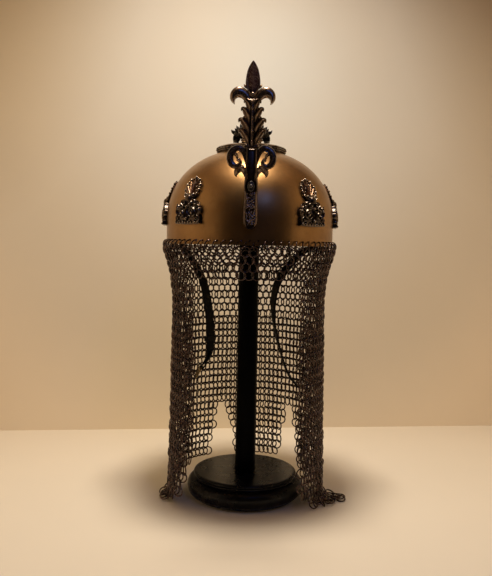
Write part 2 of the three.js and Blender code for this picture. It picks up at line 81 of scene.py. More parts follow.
# ------------------------------------------------------------------ meshes
class Geo:
    """Gathers vertices and faces, in mm."""

    def __init__(self):
        self.v, self.f, self.m, self.n, self.w = [], [], [], 0, []

    # each vertex also gets a mask value for wear and painted highlight, 0.45 unless given
    def add(self, verts, faces, mat=0, wear_and_highlight_mask=0.45):
        verts = np.asarray(verts, float).reshape(-1, 3)
        self.v.append(verts)
        self.w.append(np.full(len(verts), float(wear_and_highlight_mask)) if np.isscalar(wear_and_highlight_mask) else np.asarray(wear_and_highlight_mask, float))
        n = self.n
        self.f.extend([tuple(i + n for i in f) for f in faces])
        self.m.extend([mat] * len(faces))
        self.n += len(verts)
        return self

    def merge(self, other, fn=None, mat=0):
        for v in [np.concatenate(other.v)]:
            if fn is not None:
                v = fn(v)
            n = self.n
            self.v.append(v)
            self.w.append(np.concatenate(other.w))
            self.f.extend([tuple(i + n for i in f) for f in other.f])
            self.m.extend([m + mat for m in other.m])
            self.n += len(v)
        return self


def finish_object(name, mesh, mats, body=None, nodes=(), sharp=38, stage=False):
    for m in mats:
        mesh.materials.append(m)
    mesh.validate()
    mesh.polygons.foreach_set("use_smooth", [True] * len(mesh.polygons))
    if sharp is not None:
        mesh.set_sharp_from_angle(angle=math.radians(sharp))
    mesh.update()
    o = bpy.data.objects.new(name, mesh)
    bpy.context.scene.collection.objects.link(o)
    if stage:
        return o
    if body:
        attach(o, body)
    if nodes:
        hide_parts(*nodes)
    return o


def make(name, geo, mats, body=None, nodes=(), fn=None, sharp=38, stage=False):
    v = np.concatenate(geo.v)
    if fn is not None:
        v = fn(v)
    mesh = bpy.data.meshes.new(name)
    mesh.from_pydata((v * MM).tolist(), [], geo.f)
    if not isinstance(mats, (list, tuple)):
        mats = [mats]
    if len(mats) > 1:
        mesh.polygons.foreach_set("material_index", geo.m)
    # the per-vertex mask for wear and painted highlight is stored on the mesh for the casting materials
    wear_and_highlight_mask = mesh.attributes.new("wear_and_highlight_mask", "FLOAT", "POINT")
    wear_and_highlight_mask.data.foreach_set("value", np.clip(np.concatenate(geo.w), 0, 1).astype(np.float32))
    return finish_object(name, mesh, mats, body, nodes, sharp, stage)


def grid_faces(nu, nv, off=0, close_u=False, flip=False):
    """Quads of an nu by nv vertex grid, v fastest."""
    out = []
    for i in range(nu if close_u else nu - 1):
        a0, a1 = off + (i % nu) * nv, off + ((i + 1) % nu) * nv
        for j in range(nv - 1):
            q = (a0 + j, a1 + j, a1 + j + 1, a0 + j + 1)
            out.append(q[::-1] if flip else q)
    return out


def lathe(geo, profile, seg=64, mat=0, close=False, twist=None):
    """Revolves (r, z) pairs; ends on the axis become single points."""
    p = [tuple(q) for q in profile]
    a = np.linspace(0, 2 * np.pi, seg, endpoint=False)
    verts, index = [], []
    for r, z in p:
        if r < 1e-6:
            index.append([len(verts)] * seg)
            verts.append((0, 0, z))
        else:
            index.append(list(range(len(verts), len(verts) + seg)))
            verts.extend(zip(r * np.cos(a), r * np.sin(a), [z] * seg))
    faces = []
    rows = list(zip(index, index[1:] + index[:1])) if close else list(zip(index, index[1:]))
    for A, B in rows:
        for i in range(seg):
            j = (i + 1) % seg
            q = [A[i], A[j], B[j], B[i]]
            q = [x for k, x in enumerate(q) if x != q[k - 1]]
            if len(q) >= 3:
                faces.append(tuple(q))
    geo.add(verts, faces, mat)
    return geo


def rounded(profile, r=0.8, n=3, closed=False):
    """Rounds the corners of a polyline profile."""
    p = [np.array(q, float) for q in profile]
    out = []
    for i, c in enumerate(p):
        if not closed and (i == 0 or i == len(p) - 1):
            out.append(tuple(c))
            continue
        a, b = p[i - 1], p[(i + 1) % len(p)]
        la, lb = np.linalg.norm(a - c), np.linalg.norm(b - c)
        k = min(r, la * 0.45, lb * 0.45)
        s, e = c + (a - c) / la * k, c + (b - c) / lb * k
        for t in np.linspace(0, 1, n + 1):
            out.append(tuple((1 - t) ** 2 * s + 2 * t * (1 - t) * c + t * t * e))
    return out


def catmull(P, per=6):
    """A smooth curve through the rows of P."""
    P = np.asarray(P, float)
    Q = np.vstack([2 * P[0] - P[1], P, 2 * P[-1] - P[-2]])
    out = []
    for i in range(1, len(Q) - 2):
        p0, p1, p2, p3 = Q[i - 1], Q[i], Q[i + 1], Q[i + 2]
        for t in np.linspace(0, 1, per, endpoint=False):
            out.append(0.5 * ((2 * p1) + (-p0 + p2) * t + (2 * p0 - 5 * p1 + 4 * p2 - p3) * t * t + (-p0 + 3 * p1 - 3 * p2 + p3) * t**3))
    out.append(P[-1])
    return np.array(out)


def tube(geo, path, radius, seg=10, per=6, flat=1.0, up=(0, 0, 1), mat=0, smooth=True):
    """A round or oval bar along 3-D points; radius is one number or one per point; flat scales it along the side axis."""
    path = np.asarray(path, float)
    rad = np.full(len(path), float(radius)) if np.isscalar(radius) else np.asarray(radius, float)
    data = np.column_stack([path, rad])
    C = catmull(data, per) if smooth else data
    P, R = C[:, :3], np.maximum(C[:, 3], 0.02)
    T = np.gradient(P, axis=0)
    T /= np.linalg.norm(T, axis=1)[:, None]
    up = np.asarray(up, float)
    ref = np.cross(T[0], up)
    if np.linalg.norm(ref) < 1e-3:
        ref = np.cross(T[0], [0.3, 1, 0.2])
    ref /= np.linalg.norm(ref)
    verts = []
    for i in range(len(P)):
        ref = ref - T[i] * ref.dot(T[i])
        ref /= np.linalg.norm(ref)
        b = np.cross(T[i], ref)
        a = np.linspace(0, 2 * np.pi, seg, endpoint=False)
        verts.append(P[i] + R[i] * (np.outer(np.cos(a) * flat, ref) + np.outer(np.sin(a), b)))
    n = len(P)
    faces = []
    for i in range(n - 1):
        for j in range(seg):
            k = (j + 1) % seg
            faces.append((i * seg + j, i * seg + k, (i + 1) * seg + k, (i + 1) * seg + j))
    faces.append(tuple(range(seg))[::-1])
    faces.append(tuple((n - 1) * seg + j for j in range(seg)))
    geo.add(np.concatenate(verts), faces, mat)
    return geo


def ball(geo, c, r, sx=1.0, sy=1.0, sz=1.0, nu=12, nv=7, mat=0, rot=None):
    verts = [(0, 0, -1)]
    for j in range(1, nv):
        t = -math.pi / 2 + math.pi * j / nv
        for i in range(nu):
            a = 2 * math.pi * i / nu
            verts.append((math.cos(t) * math.cos(a), math.cos(t) * math.sin(a), math.sin(t)))
    verts.append((0, 0, 1))
    faces = []
    for i in range(nu):
        k = (i + 1) % nu
        faces.append((0, 1 + k, 1 + i))
        for j in range(nv - 2):
            a = 1 + j * nu
            faces.append((a + i, a + k, a + nu + k, a + nu + i))
        a = 1 + (nv - 2) * nu
        faces.append((a + i, a + k, len(verts) - 1))
    v = np.array(verts) * r * np.array([sx, sy, sz])
    if rot is not None:
        v = v @ np.asarray(rot).T
    # the -y side of each ball gets higher mask values: wear and painted highlight on its front
    geo.add(v + np.asarray(c, float), faces, mat, np.clip(0.15 - 0.95 * np.array(verts)[:, 1], 0, 1))
    return geo


def ribbon(geo, path, widths, height, cols=9, per=5, back=0.0, mat=0, wear_and_highlight=None):
    """A strip in the (x, z) plane with a modelled front: path rows (x, z), a half width each, and height(t, s) above
    the flat back, t across from -1 to 1 and s along from 0 to 1. Built as (x, -height, z)."""
    path = np.asarray(path, float)
    D = catmull(np.column_stack([path, np.asarray(widths, float)]), per)
    P, Wd = D[:, :2], np.maximum(D[:, 2], 0.05)
    T = np.gradient(P, axis=0)
    T /= np.linalg.norm(T, axis=1)[:, None] + 1e-9
    S = np.column_stack([T[:, 1], -T[:, 0]])
    n = len(P)
    s = np.linspace(0, 1, n)
    t = np.sin(np.linspace(-math.pi / 2, math.pi / 2, cols)) if cols > 5 else np.linspace(-1, 1, cols)
    front, rear, wear_and_highlight_mask = [], [], []
    for i in range(n):
        x = P[i, 0] + S[i, 0] * Wd[i] * t
        z = P[i, 1] + S[i, 1] * Wd[i] * t
        h = np.array([height(tt, s[i]) for tt in t])
        if wear_and_highlight is None:  # high spots and raised borders get high mask values, painted bright as wear and as painted highlight; the hollows keep the dark base
            k = (h - h.min()) / max(0.6, h.max() - h.min())
            wear_and_highlight_mask.append(np.clip(0.08 + 0.62 * k**2.4 + 0.50 * np.exp(-(((np.abs(t) - 0.86) / 0.11) ** 2)), 0, 1))
        else:
            wear_and_highlight_mask.append(np.array([wear_and_highlight(tt, s[i]) for tt in t]))
        front.append(np.column_stack([x, -np.maximum(h, back + 0.1), z]))
        rear.append(np.column_stack([x, np.full(cols, -back), z]))
    base = 0
    verts = np.concatenate([np.concatenate(front), np.concatenate(rear)])
    m = n * cols
    faces = grid_faces(n, cols, 0) + grid_faces(n, cols, m, flip=True)
    for i in range(n - 1):
        for j in (0, cols - 1):
            q = (i * cols + j, m + i * cols + j, m + (i + 1) * cols + j, (i + 1) * cols + j)
            faces.append(q if j else q[::-1])
    for j in range(cols - 1):
        faces.append((j, j + 1, m + j + 1, m + j))
        k = (n - 1) * cols
        faces.append((k + j, m + k + j, m + k + j + 1, k + j + 1))
    geo.add(verts, faces, mat, np.concatenate(wear_and_highlight_mask + [np.zeros(m)]))
    return geo


# ------------------------------------------------------------------ the bowl's surface
WALK = [(0.0, BOWL_R, RIM_Z), (SPRING_Z - RIM_Z, BOWL_R, SPRING_Z)]
_s, _r, _z = WALK[1]
for _i in range(1, 801):
    _t = _i / 800 * math.pi / 2
    r1 = BOWL_R * max(0.0, math.cos(_t)) ** (2 / CROWN_N)
    z1 = SPRING_Z + CROWN_H * math.sin(_t) ** (2 / CROWN_N)
    _s += math.hypot(r1 - _r, z1 - _z)
    WALK.append((_s, r1, z1))
    _r, _z = r1, z1
WALK = np.array(WALK)
TOTAL_S = WALK[-1, 0]


def walk(s):
    s = np.clip(s, 0, TOTAL_S)
    return np.interp(s, WALK[:, 0], WALK[:, 1]), np.interp(s, WALK[:, 0], WALK[:, 2])


def length_at(z):
    return np.interp(z, WALK[:, 2], WALK[:, 0])


def normal_at(r, z):
    a = (np.maximum(r, 1e-4) / BOWL_R) ** (CROWN_N - 1) / BOWL_R
    b = (np.maximum(z - SPRING_Z, 0) / CROWN_H) ** (CROWN_N - 1) / CROWN_H
    l = np.hypot(a, b)
    return a / l, b / l


def on_bowl(deg, u, s, h):
    """u sideways, s up from the rim along the surface, h above it."""
    r, z = walk(s)
    nr, nz = normal_at(r, z)
    a = math.radians(deg) + u / np.maximum(r, 12)
    R = r + nr * h
    return np.column_stack([R * np.sin(a), -R * np.cos(a), z + nz * h])


def radial(deg, r, z):
    a = math.radians(deg)
    return np.array([r * math.sin(a), -r * math.cos(a), z])


# ------------------------------------------------------------------ materials
def new_material(name):
    m = bpy.data.materials.new(name)
    m.use_nodes = True
    nt = m.node_tree
    nt.nodes.clear()
    out = nt.nodes.new("ShaderNodeOutputMaterial")
    b = nt.nodes.new("ShaderNodeBsdfPrincipled")
    nt.links.new(b.outputs[0], out.inputs[0])
    return m, nt, b


class N:
    """Short names for building node trees."""

    def __init__(self, nt):
        self.nt = nt
        tc = nt.nodes.new("ShaderNodeTexCoord")
        self.obj = tc.outputs["Object"]

    def link(self, a, b):
        self.nt.links.new(a, b)

    def mapped(self, scale, rot=(0, 0, 0)):
        m = self.nt.nodes.new("ShaderNodeMapping")
        m.inputs["Scale"].default_value = scale
        m.inputs["Rotation"].default_value = rot
        self.link(self.obj, m.inputs["Vector"])
        return m.outputs[0]

    def noise(self, scale, detail=4, rough=0.55, vec=None, dist=0.0):
        n = self.nt.nodes.new("ShaderNodeTexNoise")
        n.inputs["Scale"].default_value = scale
        n.inputs["Detail"].default_value = detail
        n.inputs["Roughness"].default_value = rough
        n.inputs["Distortion"].default_value = dist
        self.link(vec if vec is not None else self.obj, n.inputs["Vector"])
        return n.outputs["Fac"]

    def voronoi(self, scale, feature="F1", vec=None, rnd=1.0):
        n = self.nt.nodes.new("ShaderNodeTexVoronoi")
        n.feature = feature
        n.inputs["Scale"].default_value = scale
        n.inputs["Randomness"].default_value = rnd
        self.link(vec if vec is not None else self.obj, n.inputs["Vector"])
        return n.outputs["Distance"]

    def ramp(self, fac, stops, interp="LINEAR"):
        r = self.nt.nodes.new("ShaderNodeValToRGB")
        r.color_ramp.interpolation = interp
        while len(r.color_ramp.elements) < len(stops):
            r.color_ramp.elements.new(0.5)
        for e, (p, c) in zip(r.color_ramp.elements, stops):
            e.position = p
            e.color = (c, c, c, 1) if np.isscalar(c) else (*c, 1)
        self.link(fac, r.inputs[0])
        return r.outputs[0]

    def math(self, op, a, b=None, clamp=False):
        m = self.nt.nodes.new("ShaderNodeMath")
        m.operation = op
        m.use_clamp = clamp
        for k, v in enumerate((a, b)):
            if v is None:
                continue
            if isinstance(v, (int, float)):
                m.inputs[k].default_value = v
            else:
                self.link(v, m.inputs[k])
        return m.outputs[0]

    def mix(self, fac, a, b, blend="MIX"):
        m = self.nt.nodes.new("ShaderNodeMix")
        m.data_type = "RGBA"
        m.blend_type = blend
        for k, v in ((0, fac), (6, a), (7, b)):
            if isinstance(v, (int, float)):
                m.inputs[k].default_value = v
            elif isinstance(v, (tuple, list)):
                m.inputs[k].default_value = (*v, 1)
            else:
                self.link(v, m.inputs[k])
        return m.outputs[2]

    def bump(self, height, strength=0.3, distance=0.0005, normal=None):
        b = self.nt.nodes.new("ShaderNodeBump")
        b.inputs["Strength"].default_value = strength
        b.inputs["Distance"].default_value = distance
        self.link(height, b.inputs["Height"])
        if normal is not None:
            self.link(normal, b.inputs["Normal"])
        return b.outputs[0]

    def pointiness(self):
        return self.nt.nodes.new("ShaderNodeNewGeometry").outputs["Pointiness"]

    def attribute(self, name):
        a = self.nt.nodes.new("ShaderNodeAttribute")
        a.attribute_name = name
        return a.outputs["Fac"]


def casting_material(name, low, mid, high, rough=0.42, grain=900.0, bump=0.35, wear_and_highlight=(0.35, 0.80), metallic=1.0, use_wear_and_highlight_mask=True, coat=0.55):
    """Dark antiqued casting: the dark base stays in the hollows, raised parts and edges are mixed to a bright metal
    colour as wear and as painted highlight, with a fine sand-cast grain.
    """
    m, nt, b = new_material(name)
    n = N(nt)
    blotch = n.noise(70, 5, 0.6)
    base = n.mix(n.ramp(blotch, [(0.32, 0.0), (0.68, 1.0)]), low, mid)
    # the mask is the per-vertex attribute, or pointiness on convex edges; both paint wear and a painted highlight
    if use_wear_and_highlight_mask:
        edge = n.ramp(n.attribute("wear_and_highlight_mask"), [(wear_and_highlight[0], 0.0), (wear_and_highlight[1], 1.0)])
    else:
        edge = n.ramp(n.pointiness(), [(0.50, 0.0), (0.57, 1.0)])
    mask_breakup = n.ramp(n.noise(260, 4, 0.65), [(0.34, 0.15), (0.60, 1.0)])
    col = n.mix(n.math("MULTIPLY", edge, mask_breakup), base, high)
    pits = n.ramp(n.voronoi(grain * 0.45), [(0.05, 0.25), (0.22, 1.0)])
    col = n.mix(0.55, col, pits, "MULTIPLY")
    n.link(col, b.inputs["Base Color"])
    b.inputs["Metallic"].default_value = metallic
    rg = n.math("ADD", n.math("MULTIPLY", n.noise(300, 4, 0.6), 0.24), rough - 0.12)
    rg = n.math("SUBTRACT", rg, n.math("MULTIPLY", edge, 0.12), clamp=True)
    n.link(rg, b.inputs["Roughness"])
    g = n.math("ADD", n.noise(grain, 3, 0.7), n.math("MULTIPLY", n.voronoi(grain * 0.7), 0.5))
    n.link(n.bump(g, bump, 0.0004), b.inputs["Normal"])
    b.inputs["Coat Weight"].default_value = coat
    b.inputs["Coat Roughness"].default_value = 0.20
    return m


def bowl_material(name, inside=False):
    m, nt, b = new_material(name)
    n = N(nt)
    big = n.noise(14, 4, 0.55, dist=0.4)
    small = n.noise(90, 5, 0.6)
    base = n.mix(n.ramp(big, [(0.30, 0.0), (0.70, 1.0)]), (0.27, 0.150, 0.060), (0.38, 0.225, 0.096))
    base = n.mix(n.math("MULTIPLY", n.ramp(small, [(0.48, 0.0), (0.75, 1.0)]), 0.40), base, (0.20, 0.11, 0.045))
    freckle = n.ramp(n.voronoi(420), [(0.02, 1.0), (0.09, 0.0)])
    base = n.mix(n.math("MULTIPLY", freckle, 0.45), base, (0.07, 0.04, 0.02))
    # darker towards the rim
    sep = nt.nodes.new("ShaderNodeSeparateXYZ")
    n.link(n.obj, sep.inputs[0])
    low = n.ramp(n.math("ADD", sep.outputs[2], n.math("MULTIPLY", n.math("SUBTRACT", small, 0.5), 0.02)), [(RIM_Z * MM, 1.0), ((RIM_Z + 16) * MM, 0.0)])
    base = n.mix(n.math("MULTIPLY", low, 0.30), base, (0.16, 0.09, 0.045))
    n.link(base, b.inputs["Base Color"])
    b.inputs["Metallic"].default_value = 1.0
    # fine lines left by spinning and polishing: noise squeezed along the height
    lines = n.noise(1.0, 3, 0.7, vec=n.mapped((40, 40, 2600)))
    scratch = n.noise(1.0, 2, 0.6, vec=n.mapped((900, 60, 90), (0.5, 0.9, 0.3)))
    r = n.math("ADD", n.math("MULTIPLY", small, 0.12), 0.25 if not inside else 0.42)
    r = n.math("ADD", r, n.math("MULTIPLY", lines, 0.06))
    n.link(r, b.inputs["Roughness"])
    h = n.math("ADD", n.math("MULTIPLY", lines, 0.6), n.math("MULTIPLY", n.ramp(scratch, [(0.62, 0.0), (0.70, 1.0)]), 0.5))
    nb = n.bump(h, 0.10, 0.0002)
    nb = n.bump(n.noise(26, 2, 0.5), 0.12, 0.0016, nb)
    n.link(nb, b.inputs["Normal"])
    return m


def mail_material(name):
    m, nt, b = new_material(name)
    n = N(nt)
    tone = n.attribute("tone")
    grime = n.noise(260, 4, 0.6)
    base = n.mix(tone, (0.034, 0.019, 0.016), (0.120, 0.074, 0.062))
    base = n.mix(n.ramp(grime, [(0.42, 0.0), (0.72, 0.8)]), base, (0.030, 0.019, 0.016))
    n.link(base, b.inputs["Base Color"])
    b.inputs["Metallic"].default_value = 1.0
    n.link(n.math("ADD", n.math("MULTIPLY", grime, 0.22), 0.17), b.inputs["Roughness"])
    n.link(n.bump(n.noise(1500, 3, 0.7), 0.18, 0.0002), b.inputs["Normal"])
    b.inputs["Coat Weight"].default_value = 0.45
    b.inputs["Coat Roughness"].default_value = 0.10
    return m


def lacquer_material(name, color, rough, coat=0.6, dust=True, spec=0.5):
    m, nt, b = new_material(name)
    n = N(nt)
    grain = n.noise(1.0, 5, 0.6, vec=n.mapped((260, 260, 26)))
    base = n.mix(n.ramp(grain, [(0.35, 0.0), (0.7, 1.0)]), color, tuple(c * 2.1 for c in color))
    specks = n.ramp(n.voronoi(900), [(0.015, 1.0), (0.05, 0.0)])
    base = n.mix(n.math("MULTIPLY", specks, 0.03 if dust else 0.01), base, (0.20, 0.17, 0.14))
    n.link(base, b.inputs["Base Color"])
    smear = n.noise(40, 4, 0.6)
    n.link(n.math("ADD", n.math("MULTIPLY", smear, 0.16), rough), b.inputs["Roughness"])
    b.inputs["Coat Weight"].default_value = coat
    b.inputs["Coat Roughness"].default_value = 0.12
    b.inputs["Specular IOR Level"].default_value = spec
    n.link(n.bump(n.math("ADD", grain, n.math("MULTIPLY", n.noise(700, 2), 0.3)), 0.06, 0.0003), b.inputs["Normal"])
    return m


def leather_material(name, color, dark, rough=0.5, scale=1.0, spec=0.5):
    m, nt, b = new_material(name)
    n = N(nt)
    cell = n.voronoi(700 * scale, "SMOOTH_F1")
    wrinkle = n.noise(160 * scale, 5, 0.65, dist=0.6)
    base = n.mix(n.ramp(wrinkle, [(0.3, 0.0), (0.7, 1.0)]), dark, color)
    # convex edges painted lighter: edge wear and painted highlight
    wear_and_highlight_mask = n.ramp(n.pointiness(), [(0.50, 0.0), (0.58, 1.0)])
    base = n.mix(n.math("MULTIPLY", wear_and_highlight_mask, 0.5), base, tuple(min(1, c * 2.6 + 0.01) for c in color))
    n.link(base, b.inputs["Base Color"])
    n.link(n.math("ADD", n.math("MULTIPLY", wrinkle, 0.2), rough - 0.1), b.inputs["Roughness"])
    h = n.math("ADD", n.math("MULTIPLY", cell, -0.7), n.math("MULTIPLY", wrinkle, 0.6))
    n.link(n.bump(h, 0.35, 0.0005), b.inputs["Normal"])
    b.inputs["Specular IOR Level"].default_value = spec
    return m


def thread_material(name, color):
    m, nt, b = new_material(name)
    n = N(nt)
    w = nt.nodes.new("ShaderNodeTexWave")
    w.inputs["Scale"].default_value = 900
    w.inputs["Distortion"].default_value = 1.5
    n.link(n.obj, w.inputs["Vector"])
    n.link(n.mix(w.outputs["Fac"], tuple(c * 0.45 for c in color), color), b.inputs["Base Color"])
    b.inputs["Roughness"].default_value = 0.75
    n.link(n.bump(w.outputs["Fac"], 0.5, 0.0002), b.inputs["Normal"])
    return m


def felt_material(name, color):
    m, nt, b = new_material(name)
    n = N(nt)
    fibre = n.noise(900, 6, 0.8, dist=2.0)
    n.link(n.mix(fibre, tuple(c * 0.4 for c in color), tuple(c * 1.8 for c in color)), b.inputs["Base Color"])
    b.inputs["Roughness"].default_value = 0.95
    b.inputs["Sheen Weight"].default_value = 0.3
    n.link(n.bump(fibre, 0.8, 0.0006), b.inputs["Normal"])
    return m


BRONZE = bowl_material("bowl_bronze")
BRONZE_IN = bowl_material("bowl_bronze_inside", inside=True)
CAST = casting_material("cast_dark_bronze", (0.026, 0.015, 0.011), (0.080, 0.046, 0.032), (0.46, 0.33, 0.24), 0.33, 900, 0.30)
CAST_BLADE = casting_material("cast_copper_brown", (0.075, 0.034, 0.018), (0.17, 0.085, 0.042), (0.34, 0.21, 0.12), 0.46, 700, 0.7, coat=0.25)
# near-black casting for the crown's leaf cup and bud
CAST_BLACK = casting_material("cast_near_black", (0.008, 0.007, 0.007), (0.020, 0.017, 0.015), (0.22, 0.18, 0.15), 0.38, 900, 0.3, (0.75, 0.98))
CAST_SILVERY = casting_material("cast_antiqued", (0.028, 0.018, 0.013), (0.085, 0.054, 0.036), (0.42, 0.34, 0.26), 0.34, 1000, 0.4, (0.45, 1.0))
STEEL = casting_material("dark_steel", (0.03, 0.027, 0.025), (0.075, 0.068, 0.064), (0.40, 0.37, 0.35), 0.36, 1400, 0.15, use_wear_and_highlight_mask=False)
BRASS = casting_material("aged_brass", (0.16, 0.10, 0.04), (0.33, 0.23, 0.09), (0.70, 0.54, 0.27), 0.32, 1200, 0.15, use_wear_and_highlight_mask=False)
BRASS_DARK = casting_material("blackened_brass", (0.030, 0.020, 0.010), (0.075, 0.050, 0.025), (0.40, 0.29, 0.14), 0.36, 1200, 0.15, use_wear_and_highlight_mask=False, coat=0.2)
MAIL = mail_material("browned_mail")
LACQUER = lacquer_material("black_lacquer", (0.0022, 0.0018, 0.0020), 0.20, 0.05, spec=0.17)
SATIN_BLACK = lacquer_material("black_satin", (0.0008, 0.0008, 0.0009), 0.42, 0.0, spec=0.05)
LEATHER = leather_material("black_leather", (0.0045, 0.0038, 0.0036), (0.0018, 0.0016, 0.0016), 0.50, spec=0.22)
LINING = leather_material("brown_leather", (0.20, 0.105, 0.05), (0.10, 0.05, 0.024), 0.62, 0.8)
SUEDE = leather_material("brown_suede", (0.26, 0.15, 0.085), (0.15, 0.085, 0.045), 0.85, 1.5)
FELT = felt_material("dark_felt", (0.035, 0.04, 0.035))
THREAD = thread_material("waxed_thread", (0.42, 0.33, 0.22))
THREAD_DARK = thread_material("black_thread", (0.018, 0.016, 0.015))

# ------------------------------------------------------------------ stand
def stand():
    g = Geo()
    # turned base: bearing ring, bellied side, groove, and a top disc with a small rounded lip
    prof = [(8, 5.0), (8, 2.2), (9, 1.6), (61.4, 1.6), (66.5, 1.65), (69, 2.3), (73.6, 7), (BASE_R, 12.5), (BASE_R, 16.5), (73.4, 21), (70.6, 23.4),
            (68.2, 24.6), (65.2, 25.2), (64.5, 25.9), (64.5, 27.4), (65.4, 28.3), (66.6, 29), (66.9, 30.2), (66.3, 31.6), (64.9, 32.35), (62.8, BASE_H),
            (58, 32.25), (40, 32.0), (20, 31.95), (14.4, 32.0), (13.6, 31.4), (8.4, 31.2), (8.4, 18), (3.2, 18), (3.2, 5.0)]
    prof = rounded(prof, 1.2, 3)
    prof.append(prof[0])
    lathe(g, prof, 144)
    make("stand_base_turned", g, LACQUER, "stand", ["stand_base"], sharp=50)
    g = Geo()
    prof = rounded([(0, 18.4), (8, 18.4), (8, 31.4), (13.4, 32.4), (13.6, 34.6), (13.2, 38), (13.0, 60), (12.9, 120), (12.8, 401.4), (11.8, 402), (7, 402.1), (7, 417.6), (6.4, 418), (0, 418)], 0.8, 3)
    lathe(g, prof, 72)
    make("stand_post_turned", g, SATIN_BLACK, "stand", ["stand_post"], sharp=50)
    g = Geo()
    prof = rounded([(7.3, 402.5), (24, 402.5), (28.6, 405), (30, 411), (30, 419), (27.6, 426), (21, 431.3), (12, 434.2), (4, 435.1), (0, 435.2)], 2.0, 4)
    prof = [(0, 418.5), (7.3, 418.5)] + prof
    lathe(g, prof, 80)
    # a glued felt pad would lie here: a raised ring keeps the bowl from marking
    for k in range(3):
        pts = [(16 + 4 * k) * np.array([math.cos(a), math.sin(a), 0]) + np.array([0, 0, [433.1, 431.5, 429.0][k]]) for a in np.linspace(0, 2 * math.pi, 49)]
        tube(g, pts, 0.35, 6, 1, smooth=False)
    make("stand_head_block_turned", g, LACQUER, "stand", ["stand_head_block"], sharp=50)
    g = Geo()
    lathe(g, [(0, 0.02), (59.2, 0.02), (59.9, 0.3), (60.0, 0.7), (59.7, 1.15), (59, 1.3), (0, 1.3)], 180)

    def fray(v):
        v = v.copy()
        r = np.hypot(v[:, 0], v[:, 1])
        a = np.arctan2(v[:, 1], v[:, 0])
        k = 1 + np.where(r > 58, 0.0035 * np.sin(a * 61) * np.sin(a * 17 + 1), 0)
        v[:, 0] *= k
        v[:, 1] *= k
        return v

    make("stand_base_felt_pad", g, FELT, "stand", ["stand_base_felt"], fn=fray)
    g = Geo()
    lathe(g, rounded([(0, 2.5), (1.2, 2.5), (1.6, 1.9), (5.6, 1.9), (6.4, 2.5), (6.4, 3.6), (5.6, 4.2), (2.5, 4.8), (2.5, 8)], 0.3, 2) + [(2.5, 44), (0, 48)], 32)
    for k in range(17):  # thread
        pts = [np.array([2.55 * math.cos(a), 2.55 * math.sin(a), 12 + 1.8 * (k + a / (2 * math.pi))]) for a in np.linspace(0, 2 * math.pi, 17)]
        tube(g, pts, 0.32, 4, 1, smooth=False)
    make("stand_base_screw_steel", g, STEEL, "stand", ["stand_base_screw"])


# ------------------------------------------------------------------ bowl with its row of rim holes
RIM_RINGS = 70
HOLE_Z = RIM_Z + 5.0


def bowl():
    g = Geo()
    K = RIM_RINGS
    seg = 2 * K
    a = (np.arange(seg)) * 2 * math.pi / seg  # even index: cell centre, odd: cell edge
    z0, z1 = HOLE_Z - 2.6, HOLE_Z + 2.6

    def skin(R, flip, rise):
        # rows below the holes
        out_v, out_f = [], []
        zs = [RIM_Z + rise, z0]
        rows = {}

        def row(z, r):
            i0 = len(out_v)
            out_v.extend(np.column_stack([r * np.sin(a), -r * np.cos(a), np.full(seg, z)]).tolist())
            return i0

        lower = [row(zs[0], R), row(zs[1], R)]
        for j in range(seg):
            k = (j + 1) % seg
            out_f.append((lower[0] + j, lower[0] + k, lower[1] + k, lower[1] + j))
        top = row(z1, R)
        # the side points of each cell sit at odd columns, at the hole's height
        mid0 = len(out_v)
        for c in range(K):
            ang = (2 * c + 1) * math.pi * 2 / seg
            out_v.append([R * math.sin(ang), -R * math.cos(ang), HOLE_Z])
        holes = []
        for c in range(K):
            cell = 2 * c
            left, right = (2 * c - 1) % seg, (2 * c + 1) % seg
            border = [lower[1] + left, lower[1] + cell, lower[1] + right, mid0 + c, top + right, top + cell, top + left, mid0 + (c - 1) % K]
            h0 = len(out_v)
            ca = cell * 2 * math.pi / seg
            for q in range(8):
                t = math.radians([225, 270, 315, 0, 45, 90, 135, 180][q])
                du, dz = 1.25 * math.cos(t), 1.25 * math.sin(t)
                an = ca + du / R
                out_v.append([R * math.sin(an), -R * math.cos(an), HOLE_Z + dz])
            holes.append(h0)
            for q in range(8):
                p = (q + 1) % 8
                out_f.append((border[q], border[p], h0 + p, h0 + q))
        # crown rows
        prev = top
        total = TOTAL_S
        s_top = z1 - RIM_Z
        steps = 64
        for i in range(1, steps + 1):
            s = s_top + (total - s_top) * (i / steps) ** 0.96
            r, z = walk(s)
            nr, nz = normal_at(r, z)
            off = R - BOWL_R
            if i == steps:
                apex = len(out_v)
                out_v.append([0, 0, WALK[-1, 2] + off])
                for j in range(seg):
                    out_f.append((prev + j, prev + (j + 1) % seg, apex))
                break
            cur = row(float(z + nz * off), float(max(r + nr * off, 0.2)))
            for j in range(seg):
                k = (j + 1) % seg
                out_f.append((prev + j, prev + k, cur + k, cur + j))
            prev = cur
        if flip:
            out_f = [f[::-1] for f in out_f]
        return out_v, out_f, lower[0], holes

    vo, fo, lo_o, ho = skin(BOWL_R, False, 0.45)
    vi, fi, lo_i, hi = skin(BOWL_R - WALL, True, 0.45)
    n = len(vo)
    g.add(vo, fo, 0)
    g.add(vi, fi, 1)
    # rolled edge
    r = BOWL_R - WALL / 2
    i0 = g.n
    edge = np.column_stack([r * np.sin(a), -r * np.cos(a), np.full(seg, RIM_Z)])
    g.add(edge, [], 0)
    for j in range(seg):
        k = (j + 1) % seg
        g.f.append((i0 + j, i0 + k, lo_o + k, lo_o + j))
        g.m.append(0)
        g.f.append((n + lo_i + j, n + lo_i + k, i0 + k, i0 + j))
        g.m.append(0)
    for A, B in zip(ho, hi):
        for q in range(8):
            p = (q + 1) % 8
            g.f.append((A + q, A + p, n + B + p, n + B + q))
            g.m.append(0)
    return make("bowl_shell", g, [BRONZE, BRONZE_IN], "helmet", ["bowl"], sharp=45)


